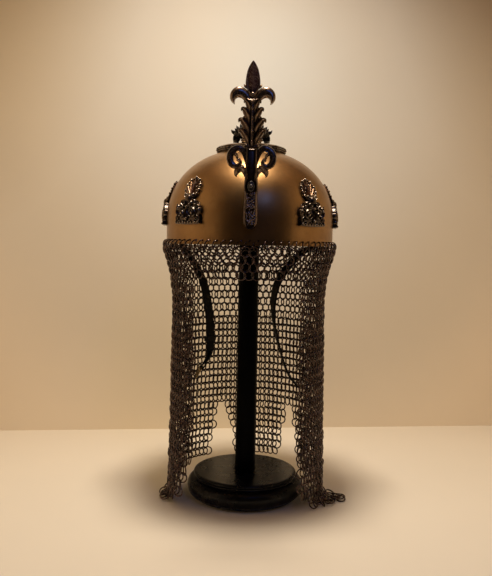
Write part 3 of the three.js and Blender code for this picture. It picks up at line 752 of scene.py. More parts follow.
# ------------------------------------------------------------------ mail
MAIL_R = [(0, 99.0), (30, 98.0), (104, 96.5), (150, 96), (222, 95), (262, 95.2), (285, 97.8), (295, 100), (305, 103), (318, 107.0), (327, 108.0)]
_mz = np.array([p[0] for p in MAIL_R], float)
_mr = np.array([p[1] for p in MAIL_R], float)


def mail_r(z, phi):
    """Radius of the curtain, with shallow hanging folds that grow towards the hem."""
    r = np.interp(z, _mz, _mr)
    p = math.radians(phi)
    k = max(0.0, min(1.0, (285 - z) / 285))
    return r + k * (1.5 * math.sin(5 * p + 0.6) + 0.9 * math.sin(11 * p + z * 0.012) + 0.5 * math.sin(17 * p - z * 0.02))


RING_R, WIRE_R = 5.9, 0.90


def place_ring(store, phi, z, parity, alpha=23.0, r=None, slope=None, along=None, R=RING_R, jitter=3.0, tone=None):
    """Adds one ring at angle phi and height z; parity sets which way its row leans."""
    p = math.radians(phi)
    er = np.array([math.sin(p), -math.cos(p), 0.0])
    et = np.array([math.cos(p), math.sin(p), 0.0])
    if r is None:
        r = mail_r(z, phi)
        d = (mail_r(z + 2, phi) - mail_r(z - 2, phi)) / 4
        ev = er * d + np.array([0, 0, 1.0])
    else:
        ev = np.array(along, float) if along is not None else np.array([0, 0, 1.0])
    ev /= np.linalg.norm(ev)
    en = np.cross(et, ev)
    al = math.radians(alpha + rng.normal(0, jitter)) * (1 if parity % 2 == 0 else -1)
    nrm = math.cos(al) * en + math.sin(al) * et
    tilt = math.radians(rng.normal(0, jitter))
    nrm = nrm * math.cos(tilt) + ev * math.sin(tilt)
    nrm /= np.linalg.norm(nrm)
    u = ev - nrm * ev.dot(nrm)
    u /= np.linalg.norm(u)
    w = np.cross(nrm, u)
    c = er * r + np.array([0, 0, z]) + rng.normal(0, 0.16, 3)
    store.append((c, u, w, R * (1 + rng.normal(0, 0.008)), rng.uniform(0, 1) if tone is None else tone))


def ring_object(name, store, body, nodes=(), nt_=18, ns=6, floor=False):
    C = np.array([s[0] for s in store])
    U = np.array([s[1] for s in store])
    W = np.array([s[2] for s in store])
    R = np.array([s[3] for s in store])
    tone = np.array([s[4] for s in store])
    M = len(C)
    Nn = np.cross(U, W)
    th0 = rng.uniform(0, 2 * np.pi, M)
    gap = 0.05
    th = th0[:, None] + gap / 2 + np.linspace(0, 1, nt_ + 1)[None, :] * (2 * np.pi - gap)
    ps = np.linspace(0, 2 * np.pi, ns, endpoint=False)
    rad = np.cos(th)[..., None] * U[:, None, :] + np.sin(th)[..., None] * W[:, None, :]
    V = C[:, None, None, :] + rad[:, :, None, :] * (R[:, None, None] + WIRE_R * np.cos(ps)[None, None, :])[..., None] + Nn[:, None, None, :] * (WIRE_R * np.sin(ps))[None, None, :, None]
    if floor:
        V[..., 2] = np.maximum(V[..., 2], 0.05)
    V = V.reshape(-1, 3) * MM
    per = (nt_ + 1) * ns
    q = []
    for i in range(nt_):
        for j in range(ns):
            k = (j + 1) % ns
            q.append((i * ns + j, (i + 1) * ns + j, (i + 1) * ns + k, i * ns + k))
    e = nt_ * ns
    q += [(0, 1, 2, 5), (2, 3, 4, 5), (e + 5, e + 2, e + 1, e + 0), (e + 5, e + 4, e + 3, e + 2)]
    q = np.array(q)
    F = (q[None] + (np.arange(M) * per)[:, None, None]).reshape(-1, 4)
    mesh = bpy.data.meshes.new(name)
    mesh.vertices.add(len(V))
    mesh.vertices.foreach_set("co", V.ravel())
    mesh.loops.add(F.size)
    mesh.loops.foreach_set("vertex_index", F.ravel().astype(np.int32))
    mesh.polygons.add(len(F))
    mesh.polygons.foreach_set("loop_start", (np.arange(len(F)) * 4).astype(np.int32))
    mesh.polygons.foreach_set("use_smooth", np.ones(len(F), bool))
    mesh.update(calc_edges=True)
    at = mesh.attributes.new("tone", "FLOAT", "POINT")
    at.data.foreach_set("value", np.repeat(tone, per).astype(np.float32))
    mesh.materials.append(MAIL)
    o = bpy.data.objects.new(name, mesh)
    bpy.context.scene.collection.objects.link(o)
    return o


UPPER_N, LOWER_N = RIM_RINGS, 92
FACE_HALF = 42.5
FRINGE_ROWS = [RIM_Z - 7.4 - 8.9 * k for k in range(4)]
UPPER_ROWS = [FRINGE_ROWS[-1] - 9.05 * (k + 1) for k in range(7)]
LOWER_ROWS = [UPPER_ROWS[-1] - 9.4 * (k + 1) for k in range(24)]


def in_flap(z, phi):
    """Which flap a point below the slits' tops belongs to, or None in a slit."""
    t = max(0.0, min(1.0, (FLAP_Z - z) / (FLAP_Z - 22)))
    r0, r1 = FACE_HALF + 3 * t, 137 + (128.6 - 137) * t
    b0, b1 = 144.7 + (152.8 - 144.7) * t, 197 + (186 - 197) * t
    l0, l1 = 205.6 + (213 - 205.6) * t, 360 - FACE_HALF - 9.5 * t
    if r0 - 0.5 <= phi <= r1:
        return "right"
    if b0 <= phi <= b1:
        return "back"
    if l0 <= phi <= l1 + 0.5:
        return "left"
    return None


def hem_z(flap, phi):
    if flap == "back":
        return HEM_BACK + 1.5
    if flap == "right":
        return float(np.interp(phi, [42, 60, 78, 92, 118, 137], [15, 8, 2.5, 2.0, 12, 19]))
    return float(np.interp(phi, [205, 242, 268, 284, 300, 318], [23, 14, 2.0, 3.5, 10, 20]))


def mail():
    fringe, upper, lower = [], [], []
    flaps = {"left": [], "back": [], "right": []}
    # rings through the bowl's holes, all leaning one way
    for i in range(RIM_RINGS):
        phi = i * 360 / RIM_RINGS
        p = math.radians(phi)
        er = np.array([math.sin(p), -math.cos(p), 0.0])
        et = np.array([math.cos(p), math.sin(p), 0.0])
        ez = np.array([0, 0, 1.0])
        near = min(phi, 360 - phi) < 8
        yaw = math.radians((72 if near else 38) + rng.normal(0, 2 if near else 5))
        side = er * math.cos(yaw) - et * math.sin(yaw)  # in-plane, outwards and to the left
        lean = math.radians(rng.normal(8, 4))
        u = ez * math.cos(lean) + et * math.sin(lean)
        u -= side * u.dot(side)
        u /= np.linalg.norm(u)
        w = side
        c = er * (BOWL_R - WALL / 2 + (-0.9 if near else 0.8)) + ez * (HOLE_Z + 0.2) - u * RING_R
        fringe.append((c, u, w, RING_R, rng.uniform(0, 1)))
    row = 0
    for z in FRINGE_ROWS:
        for i in range(UPPER_N):
            place_ring(fringe, (i + 0.5 * ((row + 1) % 2)) * 360 / UPPER_N, z, row, 22)
        row += 1
    for z in UPPER_ROWS:
        for i in range(UPPER_N):
            phi = (i + 0.5 * ((row + 1) % 2)) * 360 / UPPER_N
            if FACE_HALF - 1.2 <= phi <= 360 - FACE_HALF - 1.6:
                place_ring(upper, phi, z, row, 23)
        row += 1
    for z in LOWER_ROWS:
        for i in range(LOWER_N):
            phi = (i + 0.5 * (row % 2)) * 360 / LOWER_N
            if not (FACE_HALF - 0.6 <= phi <= 360 - FACE_HALF - 2.4):
                continue
            if z > FLAP_Z:
                place_ring(lower, phi, z, row, 26)
                continue
            f = in_flap(z, phi)
            if f and z - 6.4 > hem_z(f, phi) - 2.2:
                place_ring(flaps[f], phi, z, row, 26, jitter=4.0)
        row += 1
    # the right flap's end lies out on the floor, the left one's tips just reach it
    spread = [(100.5, 7.4, 58, 92, 0.55), (105.0, 4.6, 66, 92, 0.95), (112.6, 3.2, 72, 91, 1.35), (119.6, 2.3, 77, 90, 1.50), (125.0, 1.9, 81, 88, 1.52)]
    for k, (r, z, a0, a1, bend) in enumerate(spread):
        n = max(1, int(round((a1 - a0) / (360 / LOWER_N))))
        for i in range(n):
            phi = a0 + (i + 0.5 * (k % 2)) * (a1 - a0) / n
            p = math.radians(phi)
            er = np.array([math.sin(p), -math.cos(p), 0.0])
            along = er * -math.sin(bend) + np.array([0, 0, math.cos(bend)])
            place_ring(flaps["right"], phi, z + abs(rng.normal(0, 0.7)), row + k, 17, r=r + rng.normal(0, 0.6), along=along, jitter=7)
    for k, (r, z, a0, a1, bend) in enumerate([(101.0, 6.9, 268, 292, 0.5), (105.5, 4.0, 272, 288, 1.1)]):
        n = max(1, int(round((a1 - a0) / (360 / LOWER_N))))
        for i in range(n):
            phi = a0 + (i + 0.5 * (k % 2)) * (a1 - a0) / n
            p = math.radians(phi)
            er = np.array([math.sin(p), -math.cos(p), 0.0])
            along = er * -math.sin(bend) + np.array([0, 0, math.cos(bend)])
            place_ring(flaps["left"], phi, z + abs(rng.normal(0, 0.4)), row + k, 18, r=r, along=along, jitter=6)
    o = ring_object("mail_fringe_rings", fringe, "helmet")
    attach(o, "helmet"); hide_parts("mail_fringe")
    o = ring_object("mail_upper_rings", upper, "helmet")
    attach(o, "helmet"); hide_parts("mail_upper")
    half = len(lower) // 2
    o = ring_object("mail_lower_rings_a", lower[:half], "helmet")
    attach(o, "helmet"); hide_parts("mail_lower")
    o = ring_object("mail_lower_rings_b", lower[half:], "helmet")
    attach(o, "helmet")
    for f, (deg) in {"left": 290, "back": 171, "right": 70}.items():
        o = ring_object("mail_flap_%s_rings" % f, flaps[f], None, floor=True)
        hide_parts("mail_flap_" + f)
        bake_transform(o)
    return len(fringe) + len(upper) + len(lower) + sum(len(v) for v in flaps.values())


# ------------------------------------------------------------------ palmette mounts
def spiral(cx, cz, r0, r1, turns, a0, hand=1, n=22):
    out = []
    for i in range(n + 1):
        t = i / n
        a = a0 + hand * turns * 2 * math.pi * t
        r = r0 + (r1 - r0) * t ** 0.85
        out.append((cx + r * math.cos(a), cz + r * math.sin(a)))
    return out


def dome(d):
    return lambda t, s: d * math.sqrt(max(0.0, 1 - t * t)) + 0.15


def palmette_flat():
    """The mount in its own plane: x sideways, z up from the foot, front towards -y (height is -y)."""
    g = Geo()
    dull = lambda t, q: 0.10
    # back plate of the scroll block, its edge standing proud of the bowl
    ribbon(g, [(0, 0.6), (0, 5), (0, 10), (0, 15), (0, 20), (0, 24.6), (0, 28.4)], [18.8, 18.0, 18.6, 17.8, 16.8, 13.0, 7.4], lambda t, q: 3.4 + 0.5 * math.cos(9 * t + 30 * q), 17, 4, wear_and_highlight=dull)
    # foot strip with a row of beads
    ribbon(g, [(-19.4, 1.9), (-10, 1.5), (0, 1.4), (10, 1.5), (19.4, 1.9)], [1.5, 1.8, 1.9, 1.8, 1.5], lambda t, q: 5.4 - 1.4 * t * t, 7, 6)
    for i in range(9):
        ball(g, ((i - 4) * 4.4, -5.4, 1.7 + 0.03 * (i - 4) ** 2), 1.3, nu=8, nv=5)
    for s in (-1, 1):
        for cx, cz, r0, r1, turns, a0, hand, w, d in (
            (8.2, 12.6, 6.6, 1.8, 1.5, math.pi / 2 + s * 0.4, -s, 1.55, 6.2),
            (15.0, 19.4, 3.4, 0.9, 1.2, -math.pi / 2, s, 1.15, 5.6),
            (15.6, 7.0, 3.2, 0.9, 1.2, math.pi / 2, -s, 1.15, 5.4),
            (4.6, 23.6, 3.6, 1.0, 1.25, -math.pi / 2 - s * 0.3, s, 1.15, 5.8),
        ):
            sp = spiral(s * cx, cz, r0, r1, turns, a0, hand, 16)
            ribbon(g, sp, np.linspace(w, w * 0.6, len(sp)), dome(d), 7, 2)
            ball(g, (s * cx, -d * 0.80, cz), r1 * 1.0, sy=0.9)
        # outer ear and two leaves
        ribbon(g, [(s * 17.6, 11.4), (s * 19.0, 14.0), (s * 18.4, 17.4), (s * 15.8, 19.0)], [0.8, 1.4, 1.4, 0.7], dome(5.2), 7, 4)
        ribbon(g, [(s * 0.9, 4.0), (s * 2.2, 8.0), (s * 2.0, 12.5), (s * 0.7, 17.6)], [0.5, 1.3, 1.1, 0.3], dome(5.6), 7, 4)
        ribbon(g, [(s * 9.0, 22.4), (s * 11.2, 24.6), (s * 10.2, 27.0), (s * 7.4, 27.8)], [0.6, 1.3, 1.2, 0.5], dome(5.0), 7, 4)
        for x, z, r in ((12.0, 22.0, 1.2), (18.2, 3.9, 1.0), (11.6, 3.9, 1.1), (2.2, 20.0, 1.0), (18.4, 22.6, 0.9), (5.8, 4.2, 1.0)):
            ball(g, (s * x, -4.6, z), r, nu=8, nv=5)
    ball(g, (0, -5.0, 6.0), 1.8)
    ball(g, (0, -5.0, 19.6), 1.6)
    ball(g, (0, -5.0, 27.0), 1.7)
    # neck
    ribbon(g, [(0, 26), (0, 29), (0, 32), (0, 35.4)], [6.8, 4.8, 5.0, 6.4], lambda t, q: 3.0 + 1.6 * math.sqrt(max(0.0, 1 - t * t)), 9, 4)
    # fan: a thin brown web between ribs that end in beads
    # the web gets a low fixed mask value and the ribs below a higher one: wear and painted highlight
    ribbon(g, [(0, 33), (0, 38), (0, 43), (0, 48), (0, 52.6), (0, 56.2)], [4.6, 8.4, 9.8, 9.6, 7.0, 2.6], lambda t, q: 0.7, 9, 4, mat=1, wear_and_highlight=lambda t, q: 0.35)
    nb = 9
    for i in range(nb):
        a = math.radians(90 + (i - 4) * 21.0)
        L = [9.8, 13.2, 17.0, 20.4, 22.2, 20.4, 17.0, 13.2, 9.8][i]
        c, q = math.cos(a) * 0.93, math.sin(a)
        pts = [(1.6 * c, 34.0 + 1.6 * q), (0.35 * L * c, 34.0 + 0.35 * L * q), (0.72 * L * c, 34.0 + 0.72 * L * q), (L * c, 34.0 + L * q)]
        ribbon(g, pts, [0.5, 0.7, 0.9, 0.8], dome(2.2), 7, 4, mat=1, wear_and_highlight=lambda t, u: 0.6)
        ball(g, (L * c, -2.0, 34.0 + L * q), 1.85, sy=0.9, nu=9, nv=6)
        if i < nb - 1:
            b = math.radians(90 + (i - 3.5) * 21.0)
            M = ([9.8, 13.2, 17.0, 20.4, 22.2, 20.4, 17.0, 13.2, 9.8][i] + [9.8, 13.2, 17.0, 20.4, 22.2, 20.4, 17.0, 13.2, 9.8][i + 1]) / 2
            ball(g, (M * math.cos(b) * 0.93, -1.8, 34.0 + M * math.sin(b)), 1.25, nu=8, nv=5)
        if 0 < i < nb - 1:
            b = math.radians(90 + (i - 3.5 - (0.0 if i < 4 else 1.0)) * 21.0)
            ball(g, (0.70 * L * math.cos(b) * 0.93, -1.8, 34.0 + 0.70 * L * math.sin(b)), 1.05, nu=8, nv=5)
    for s in (-1, 1):
        sp = spiral(s * 5.2, 33.2, 2.8, 0.8, 1.1, -math.pi / 2, s, 12)
        ribbon(g, sp, np.linspace(1.1, 0.7, len(sp)), dome(4.6), 7, 2)
        ball(g, (s * 5.2, -3.6, 33.2), 1.1, nu=8, nv=5)
    return g


def palmettes():
    flat = palmette_flat()
    foot = float(length_at(349.5))
    for name, deg in MOUNT_ANGLES.items():
        g = Geo()
        g.merge(flat)

        def fn(v, deg=deg):
            return on_bowl(deg, v[:, 0], foot + v[:, 2], np.maximum(-v[:, 1], 0.0) + 0.35)

        make("palmette_%s_cast" % name, g, [CAST_SILVERY, CAST_BLADE], "helmet", ["palmette_" + name], fn=fn, sharp=50)
        # rivet: domed head in front, shank through the bowl, and a burr behind the lining
        r, z = walk(length_at(378.5))
        nr, nz = normal_at(r, 378.5)
        ax = np.array([math.sin(math.radians(deg)) * nr, -math.cos(math.radians(deg)) * nr, nz], float)
        o0 = radial(deg, float(r), 378.5)
        h = Geo()
        prof = [(0, -9.2), (3.2, -9.2), (4.5, -8.6), (4.5, -7.7), (2.1, -7.5), (2.1, 4.0), (4.3, 4.2), (4.6, 4.9), (4.1, 6.2), (3.0, 7.2), (1.5, 7.7), (0, 7.8)]
        lathe(h, rounded(prof, 0.4, 2), 24)
        q = Vector((0, 0, 1)).rotation_difference(Vector(ax)).to_matrix()
        R = np.array(q)
        make("rivet_%s_domed" % name, h, CAST_SILVERY, "helmet", ["rivet_" + name], fn=lambda v, R=R, o0=o0: v @ R.T + o0)


# ------------------------------------------------------------------ crown
def crown():
    # rosette: eight fluted lobes with a reeded rim, following the bowl
    g = Geo()
    seg = 192
    a = np.linspace(0, 2 * np.pi, seg, endpoint=False)
    lobe = 43.4 - 1.6 * (1 - np.cos(8 * a))
    prof = [(0.10, 5.0, 0.0), (0.14, 5.6, 0.0), (0.22, 6.0, 0.2), (0.24, 5.2, 0.2), (0.34, 5.0, 0.7), (0.5, 5.4, 1.0), (0.66, 5.8, 1.0), (0.78, 5.8, 0.8), (0.83, 5.4, 0.4), (0.85, 7.2, 0.0), (0.90, 8.3, 0.0),
            (0.96, 8.3, 0), (0.99, 7.4, 0), (0.975, 6.5, 0), (1.0, 5.9, 0), (1.0, 5.0, 0), (0.975, 4.3, 0), (1.0, 3.6, 0), (1.0, 2.8, 0), (0.975, 2.0, 0), (1.0, 1.4, 0), (0.99, 0.45, 0), (0.5, 0.45, 0), (0.10, 0.45, 0)]
    verts = []
    for i, ang in enumerate(a):
        for (k, h, fl) in prof:
            rr = lobe[i] * k
            hh = h + fl * 0.9 * math.cos(8 * ang + math.pi * 0) + fl * 0.5 * math.cos(32 * ang)
            if 0.95 < k and 0.5 < h < 7:
                rr += 0.55 * math.cos(64 * ang)
            r, z = walk(TOTAL_S - rr * 1.004)
            nr, nz = normal_at(r, z)
            R = float(r + nr * hh)
            verts.append((R * math.sin(ang), -R * math.cos(ang), float(z + nz * hh)))
    n = len(prof)
    faces = []
    for i in range(seg):
        k = (i + 1) % seg
        for j in range(n):
            l = (j + 1) % n
            faces.append((i * n + j, i * n + l, k * n + l, k * n + j))
    # the top ridge and the reeded rim get high mask values, the flutes less: wear and painted highlight
    g.add(verts, faces, 0, np.tile([0.9 if 7 < h else (0.75 if k > 0.99 and h > 1 else 0.3 + 0.4 * fl) for (k, h, fl) in prof], seg))
    # beads along the inner ring
    for i in range(24):
        an = 2 * math.pi * i / 24
        r, z = walk(TOTAL_S - 11.6)
        nr, nz = normal_at(r, z)
        c = np.array([(r + nr * 6) * math.sin(an), -(r + nr * 6) * math.cos(an), z + nz * 6], float)
        ball(g, c, 1.25, nu=8, nv=5)
    make("crown_rosette_cast", g, CAST_SILVERY, "helmet", ["crown_rosette"], sharp=40)

    # leaf cup: eight acanthus leaves that rise, roll over and droop
    g = Geo()
    lathe(g, rounded([(3.9, 453.6), (9.5, 453.6), (10.5, 455.5), (8.6, 458.6), (7.6, 461.8), (6.4, 462.6), (3.9, 462.6)], 0.6, 2), 40, close=True)
    path = catmull(np.array([(5.6, 455.5), (6.4, 461.5), (8.8, 468.4), (12.8, 472.8), (17.4, 472.4), (21.0, 468.6), (23.2, 463.0), (23.4, 457.4)]), 6)
    T = np.gradient(path, axis=0)
    T /= np.linalg.norm(T, axis=1)[:, None]
    nn = len(path)
    for L in range(8):
        ang0 = math.radians(22.5 + 45 * L)
        er = np.array([math.sin(ang0), -math.cos(ang0), 0.0])
        et = np.array([math.cos(ang0), math.sin(ang0), 0.0])
        ez = np.array([0, 0, 1.0])
        cols = 11
        top, bot = [], []
        for i in range(nn):
            s = i / (nn - 1)
            env = 5.6 * (0.70 + 1.25 * math.sin(math.pi * min(1, s * 1.02)) ** 0.8) * (1 - 0.55 * max(0, s - 0.72) / 0.28)
            lobe_ = 1 - 0.30 * (0.5 + 0.5 * math.cos(2 * math.pi * s * 4.6))
            w = env * lobe_
            nrm = np.array([-T[i, 1], T[i, 0]])
            for j in range(cols):
                t = -1 + 2 * j / (cols - 1)
                ridge = 0.9 * math.exp(-(t / 0.16) ** 2) + 0.35 * math.cos(t * math.pi * 3.0 + s * 20)
                curl = 6.0 * abs(t) ** 2.2
                tipup = 1.8 * abs(t) ** 3 * (0.5 + 0.5 * math.cos(2 * math.pi * s * 4.6 + math.pi))
                h = ridge - curl + tipup
                base = er * path[i, 0] + ez * path[i, 1] + et * (t * w)
                nv = er * nrm[0] + ez * nrm[1]
                top.append(base + nv * (h + 0.8))
                bot.append(base + nv * (h - 0.5))
        m = nn * cols
        faces = grid_faces(nn, cols, 0) + grid_faces(nn, cols, m, flip=True)
        for i in range(nn - 1):
            faces.append((i * cols, (i + 1) * cols, m + (i + 1) * cols, m + i * cols))
            j = cols - 1
            faces.append((i * cols + j, m + i * cols + j, m + (i + 1) * cols + j, (i + 1) * cols + j))
        for j in range(cols - 1):
            faces.append((j, m + j, m + j + 1, j + 1))
            k = (nn - 1) * cols
            faces.append((k + j, k + j + 1, m + k + j + 1, m + k + j))
        g.add(np.array(top + bot), faces)
        # pointed lobes that stand up from the leaf's shoulder
        for (s0, hgt, lean) in ((0.34, 6.0, 0.15), (0.52, 7.0, 0.45), (0.70, 6.4, 0.95)):
            i = int(s0 * (nn - 1))
            for sd in (-1, 1):
                b = er * path[i, 0] + ez * (path[i, 1] - 1.2) + et * sd * 4.4
                tip = b + ez * hgt * math.cos(lean) + er * hgt * math.sin(lean) + et * sd * 2.2
                tube(g, [b, b * 0.5 + tip * 0.5 + er * 0.6, tip], [2.5, 1.8, 0.15], 8, 4, flat=0.6)
    make("crown_leaf_cup_cast", g, CAST_BLACK, "helmet", ["crown_leaf_cup"], sharp=60)

    g = Geo()
    prof = rounded([(0, 436.6), (2.6, 436.6), (3.1, 437.2), (3.1, 464.2), (6.0, 464.5), (7.0, 466), (7.2, 468.4), (5.2, 470.2), (5.0, 471.2), (6.6, 474.2), (6.2, 478.6), (4.0, 484), (1.5, 488.4), (0, 489.5)], 0.5, 2)
    seg = 48
    gg = Geo()
    lathe(gg, prof, seg)

    def flute(v):
        v = v.copy()
        r = np.hypot(v[:, 0], v[:, 1])
        an = np.arctan2(v[:, 1], v[:, 0])
        k = np.clip((v[:, 2] - 471.2) / 3, 0, 1) * np.clip((489 - v[:, 2]) / 4, 0, 1)
        s = 1 + 0.07 * k * np.cos(8 * an + (v[:, 2] - 471) * 0.12)
        v[:, 0] *= s
        v[:, 1] *= s
        return v

    make("crown_bud_cast", gg, CAST_BLACK, "helmet", ["crown_bud"], fn=flute)
    # nut under the bowl
    g = Geo()
    n6 = [(math.cos(math.radians(60 * i)), math.sin(math.radians(60 * i))) for i in range(6)]
    verts, faces = [], []
    for (z, ro) in ((438.3, 7.1), (438.9, 7.6), (442.3, 7.6), (442.9, 7.1)):
        verts.extend([(x * ro, y * ro, z) for x, y in n6])
    for (z, ro) in ((442.9, 3.4), (438.3, 3.4)):
        verts.extend([(x * ro, y * ro, z) for x, y in n6])
    for k in range(6):
        for i in range(6):
            j = (i + 1) % 6
            A, B = (k % 6) * 6, ((k + 1) % 6) * 6
            faces.append((A + i, A + j, B + j, B + i))
    g.add(verts, faces)
    make("crown_nut_steel", g, STEEL, "helmet", ["crown_nut"], sharp=20)


# ------------------------------------------------------------------ nasal
def bar_relief(border, field, edge=0.80, hgt=0.7, wave=0.0):
    def f(t, s):
        b = border if abs(t) > edge else field
        k = max(0.0, 1 - ((abs(t) - 0.9) / 0.1) ** 2) if abs(t) > edge else 0.0
        return b + hgt * k * 0.4 + wave * math.sin(s * 90) * (0 if abs(t) > edge else 1)
    return f


def leaf(base, rise, rib=0.5, veins=0):
    def f(t, s):
        h = base + rise * math.sqrt(max(0.0, 1 - t * t)) * (0.55 + 0.45 * math.sin(math.pi * min(1.0, s * 1.1)))
        h += rib * math.exp(-(t / 0.14) ** 2)
        if veins:
            h += 0.22 * math.sin(veins * 2 * math.pi * s + 5 * abs(t)) * (1 - abs(t))
        return h
    return f


def nasal():
    g = Geo()
    # lower end: a plate with raised borders
    lower = [(0, 344.1), (0, 345.4), (0, 348.6), (0, 353.5), (0, 361), (0, 370), (0, 378), (0, 386.4)]
    lw = [2.5, 4.6, 7.0, 8.2, 8.2, 7.9, 7.6, 7.4]

    def plate_h(t, s):
        z = 344.1 + s * 42.3
        inner = abs(t) < 0.70 and z > 348
        ridge = math.exp(-((abs(t) - 0.84) / 0.10) ** 2)
        end = math.exp(-((z - 346.6) / 1.6) ** 2)
        h = 2.5 + 1.7 * max(ridge, end * (1 - 0.2 * abs(t)))
        if abs(t) > 0.97:
            h = 2.6
        return h

    # the raised borders get higher mask values: wear and painted highlight
    ribbon(g, lower, lw, plate_h, 19, 5, wear_and_highlight=lambda t, s: 0.30 + 0.24 * math.exp(-((abs(t) - 0.84) / 0.12) ** 2))
    # rails either side of the slot
    for s in (-1, 1):
        pts = [(s * 5.55, 386.0), (s * 5.25, 398), (s * 5.0, 410), (s * 4.85, 422), (s * 4.7, 434.5)]
        # the rails' crests get higher mask values: wear and painted highlight
        ribbon(g, pts, [2.5, 2.2, 1.95, 1.8, 1.65], lambda t, q, s=s: 2.7 + 1.45 * math.exp(-((t * s * (1) - 0.50) / 0.34) ** 2) if abs(t) < 0.99 else 2.5, 11, 8, wear_and_highlight=lambda t, q, s=s: 0.30 + 0.20 * math.exp(-((t * s - 0.50) / 0.34) ** 2))
    ribbon(g, [(-5.6, 435.9), (0, 435.9), (5.6, 435.9)], [2.3, 2.3, 2.3], lambda t, q: 3.4 + 0.6 * (1 - t * t), 7, 6)
    # punched grain inside the lower panel
    for i in range(210):
        z = rng.uniform(349.0, 385.0)
        x = rng.uniform(-5.0, 5.0)
        ball(g, (x, -2.5, z), rng.uniform(0.6, 1.0), sy=0.9, nu=6, nv=4)
    for s in (-1, 1):
        # small lower volutes
        ribbon(g, [(s * 4.9, 398.6), (s * 6.4, 405.2), (s * 8.8, 409.8), (s * 12.2, 411.6), (s * 15.6, 409.2), (s * 17.0, 405.2), (s * 16.2, 402.2)], [1.2, 2.4, 3.2, 4.0, 3.6, 2.2, 0.5], lambda t, q: 2.2 + min(1.0, 0.3 + 2.6 * max(0.0, q - 0.12)) * (3.6 * math.sqrt(max(0.0, 1 - t * t)) + 0.5 * math.exp(-((t / 0.14) ** 2))), 11, 6)
        # large open scroll
        pts = [(s * 4.9, 413.6), (s * 6.5, 423.4), (s * 9.2, 430.6), (s * 13.6, 434.2), (s * 18.8, 432.8), (s * 22.8, 428.8), (s * 24.2, 423.2), (s * 22.6, 417.4), (s * 18.6, 414.2), (s * 14.4, 414.9), (s * 12.3, 418.2), (s * 13.8, 421.2)]
        w = [1.3, 2.4, 3.2, 3.6, 3.8, 4.0, 4.0, 3.8, 3.2, 2.6, 2.1, 1.6]

        def scroll_h(t, q, s=s):
            lip = math.exp(-((abs(t) - 0.80) / 0.13) ** 2)
            low = min(1.0, 0.28 + 5.0 * max(0.0, q - 0.10))
            return 2.2 + low * (3.6 * math.sqrt(max(0.0, 1 - t * t)) * (0.6 + 0.4 * q) + 0.9 * lip * (1 - 0.7 * q))

        ribbon(g, pts, w, scroll_h, 15, 8)
        ball(g, (s * 14.4, -3.2, 421.0), 2.5, sy=1.2)
        # tendril inside the scroll, from its shoulder
        ribbon(g, [(s * 20.0, 428.6), (s * 17.6, 427.0), (s * 16.0, 424.6), (s * 17.0, 422.6)], [2.0, 1.9, 1.5, 0.7], leaf(2.2, 2.4, 0.2), 7, 6)
        # bud between the scroll and the lower volute
        ribbon(g, [(s * 8.0, 414.6), (s * 11.0, 413.6), (s * 14.6, 414.2)], [1.0, 1.9, 0.8], leaf(2.2, 2.6, 0.3), 7, 4)
        # four pairs of rolled leaves up the stem, each with a side lobe
        for pts, w in (
            ([(2.2, 436.6), (4.4, 441.4), (7.2, 447.6), (11.0, 452.8), (13.8, 453.4), (14.8, 450.8)], [1.3, 2.8, 3.6, 3.2, 2.0, 0.4]),
            ([(1.0, 442), (3.8, 452.4), (7.4, 460.0), (11.2, 464.6), (14.0, 465.2), (15.2, 462.8)], [1.4, 3.4, 4.0, 3.3, 2.0, 0.4]),
            ([(0.9, 455), (3.2, 464.6), (6.0, 472.0), (9.0, 476.6), (11.4, 477.4), (12.4, 475.2)], [1.3, 3.3, 3.8, 3.0, 1.8, 0.4]),
            ([(0.8, 467), (2.2, 475), (4.2, 481.4), (6.6, 485.2), (8.6, 485.6), (9.4, 483.8)], [1.2, 2.9, 3.2, 2.4, 1.5, 0.35]),
        ):
            ribbon(g, [(s * x, z) for x, z in pts], w, leaf(2.4, 3.4, 0.9, 3), 13, 6)
            x, z = pts[2]
            ribbon(g, [(s * (x - 1.5), z - 5.0), (s * (x + 2.4), z - 4.2), (s * (x + 4.9), z - 5.4)], [1.4, 2.1, 0.4], leaf(2.2, 2.0, 0.5), 7, 4)
        # side petals: they leave the stem below the blade, arch over and turn down
        pts = [(s * 0.8, 482.4), (s * 4.6, 488.0), (s * 9.6, 493.6), (s * 15.2, 495.7), (s * 19.8, 493.4), (s * 21.9, 489.2), (s * 21.5, 485.6), (s * 20.0, 482.4)]
        ribbon(g, pts, [2.4, 4.3, 5.4, 6.0, 5.1, 3.6, 2.1, 0.3], lambda t, q: 2.2 + 5.2 * math.sqrt(max(0.0, 1 - t * t)) * (0.45 + 0.55 * min(1.0, q * 2.4)), 17, 8)
    # stem and midrib
    ribbon(g, [(0, 434), (0, 445), (0, 460), (0, 475), (0, 491)], [5.0, 6.2, 7.0, 6.2, 5.8], lambda t, q: 2.0 + 1.2 * (1 - t * t), 9, 6)
    ribbon(g, [(0, 436.6), (0, 444), (0, 456), (0, 472), (0, 487)], [1.0, 1.6, 1.6, 1.5, 0.9], leaf(4.2, 2.2, 0.0), 9, 8)
    for z in (440.0, 452.5, 466.5, 478.0):
        ball(g, (0, -5.2, z), 1.5, sz=1.5)
    # collar under the blade
    for s in (-1, 1):
        ribbon(g, [(s * 0.2, 490.4), (s * 2.6, 492.6), (s * 4.4, 495.6), (s * 5.6, 498.8)], [1.2, 1.4, 1.1, 0.3], leaf(4.4, 2.0, 0.2), 7, 6)
    ribbon(g, [(-6.2, 487.6), (0, 486.0), (6.2, 487.6)], [1.7, 2.1, 1.7], leaf(4.4, 2.4, 0.3), 9, 6)
    ball(g, (0, -5.2, 493.4), 1.9)
    o = make("nasal_bar_cast", g, CAST, "nasal", ["nasal_bar"], fn=lambda v: v + np.array([0, BAR_BACK, 0]), sharp=50)
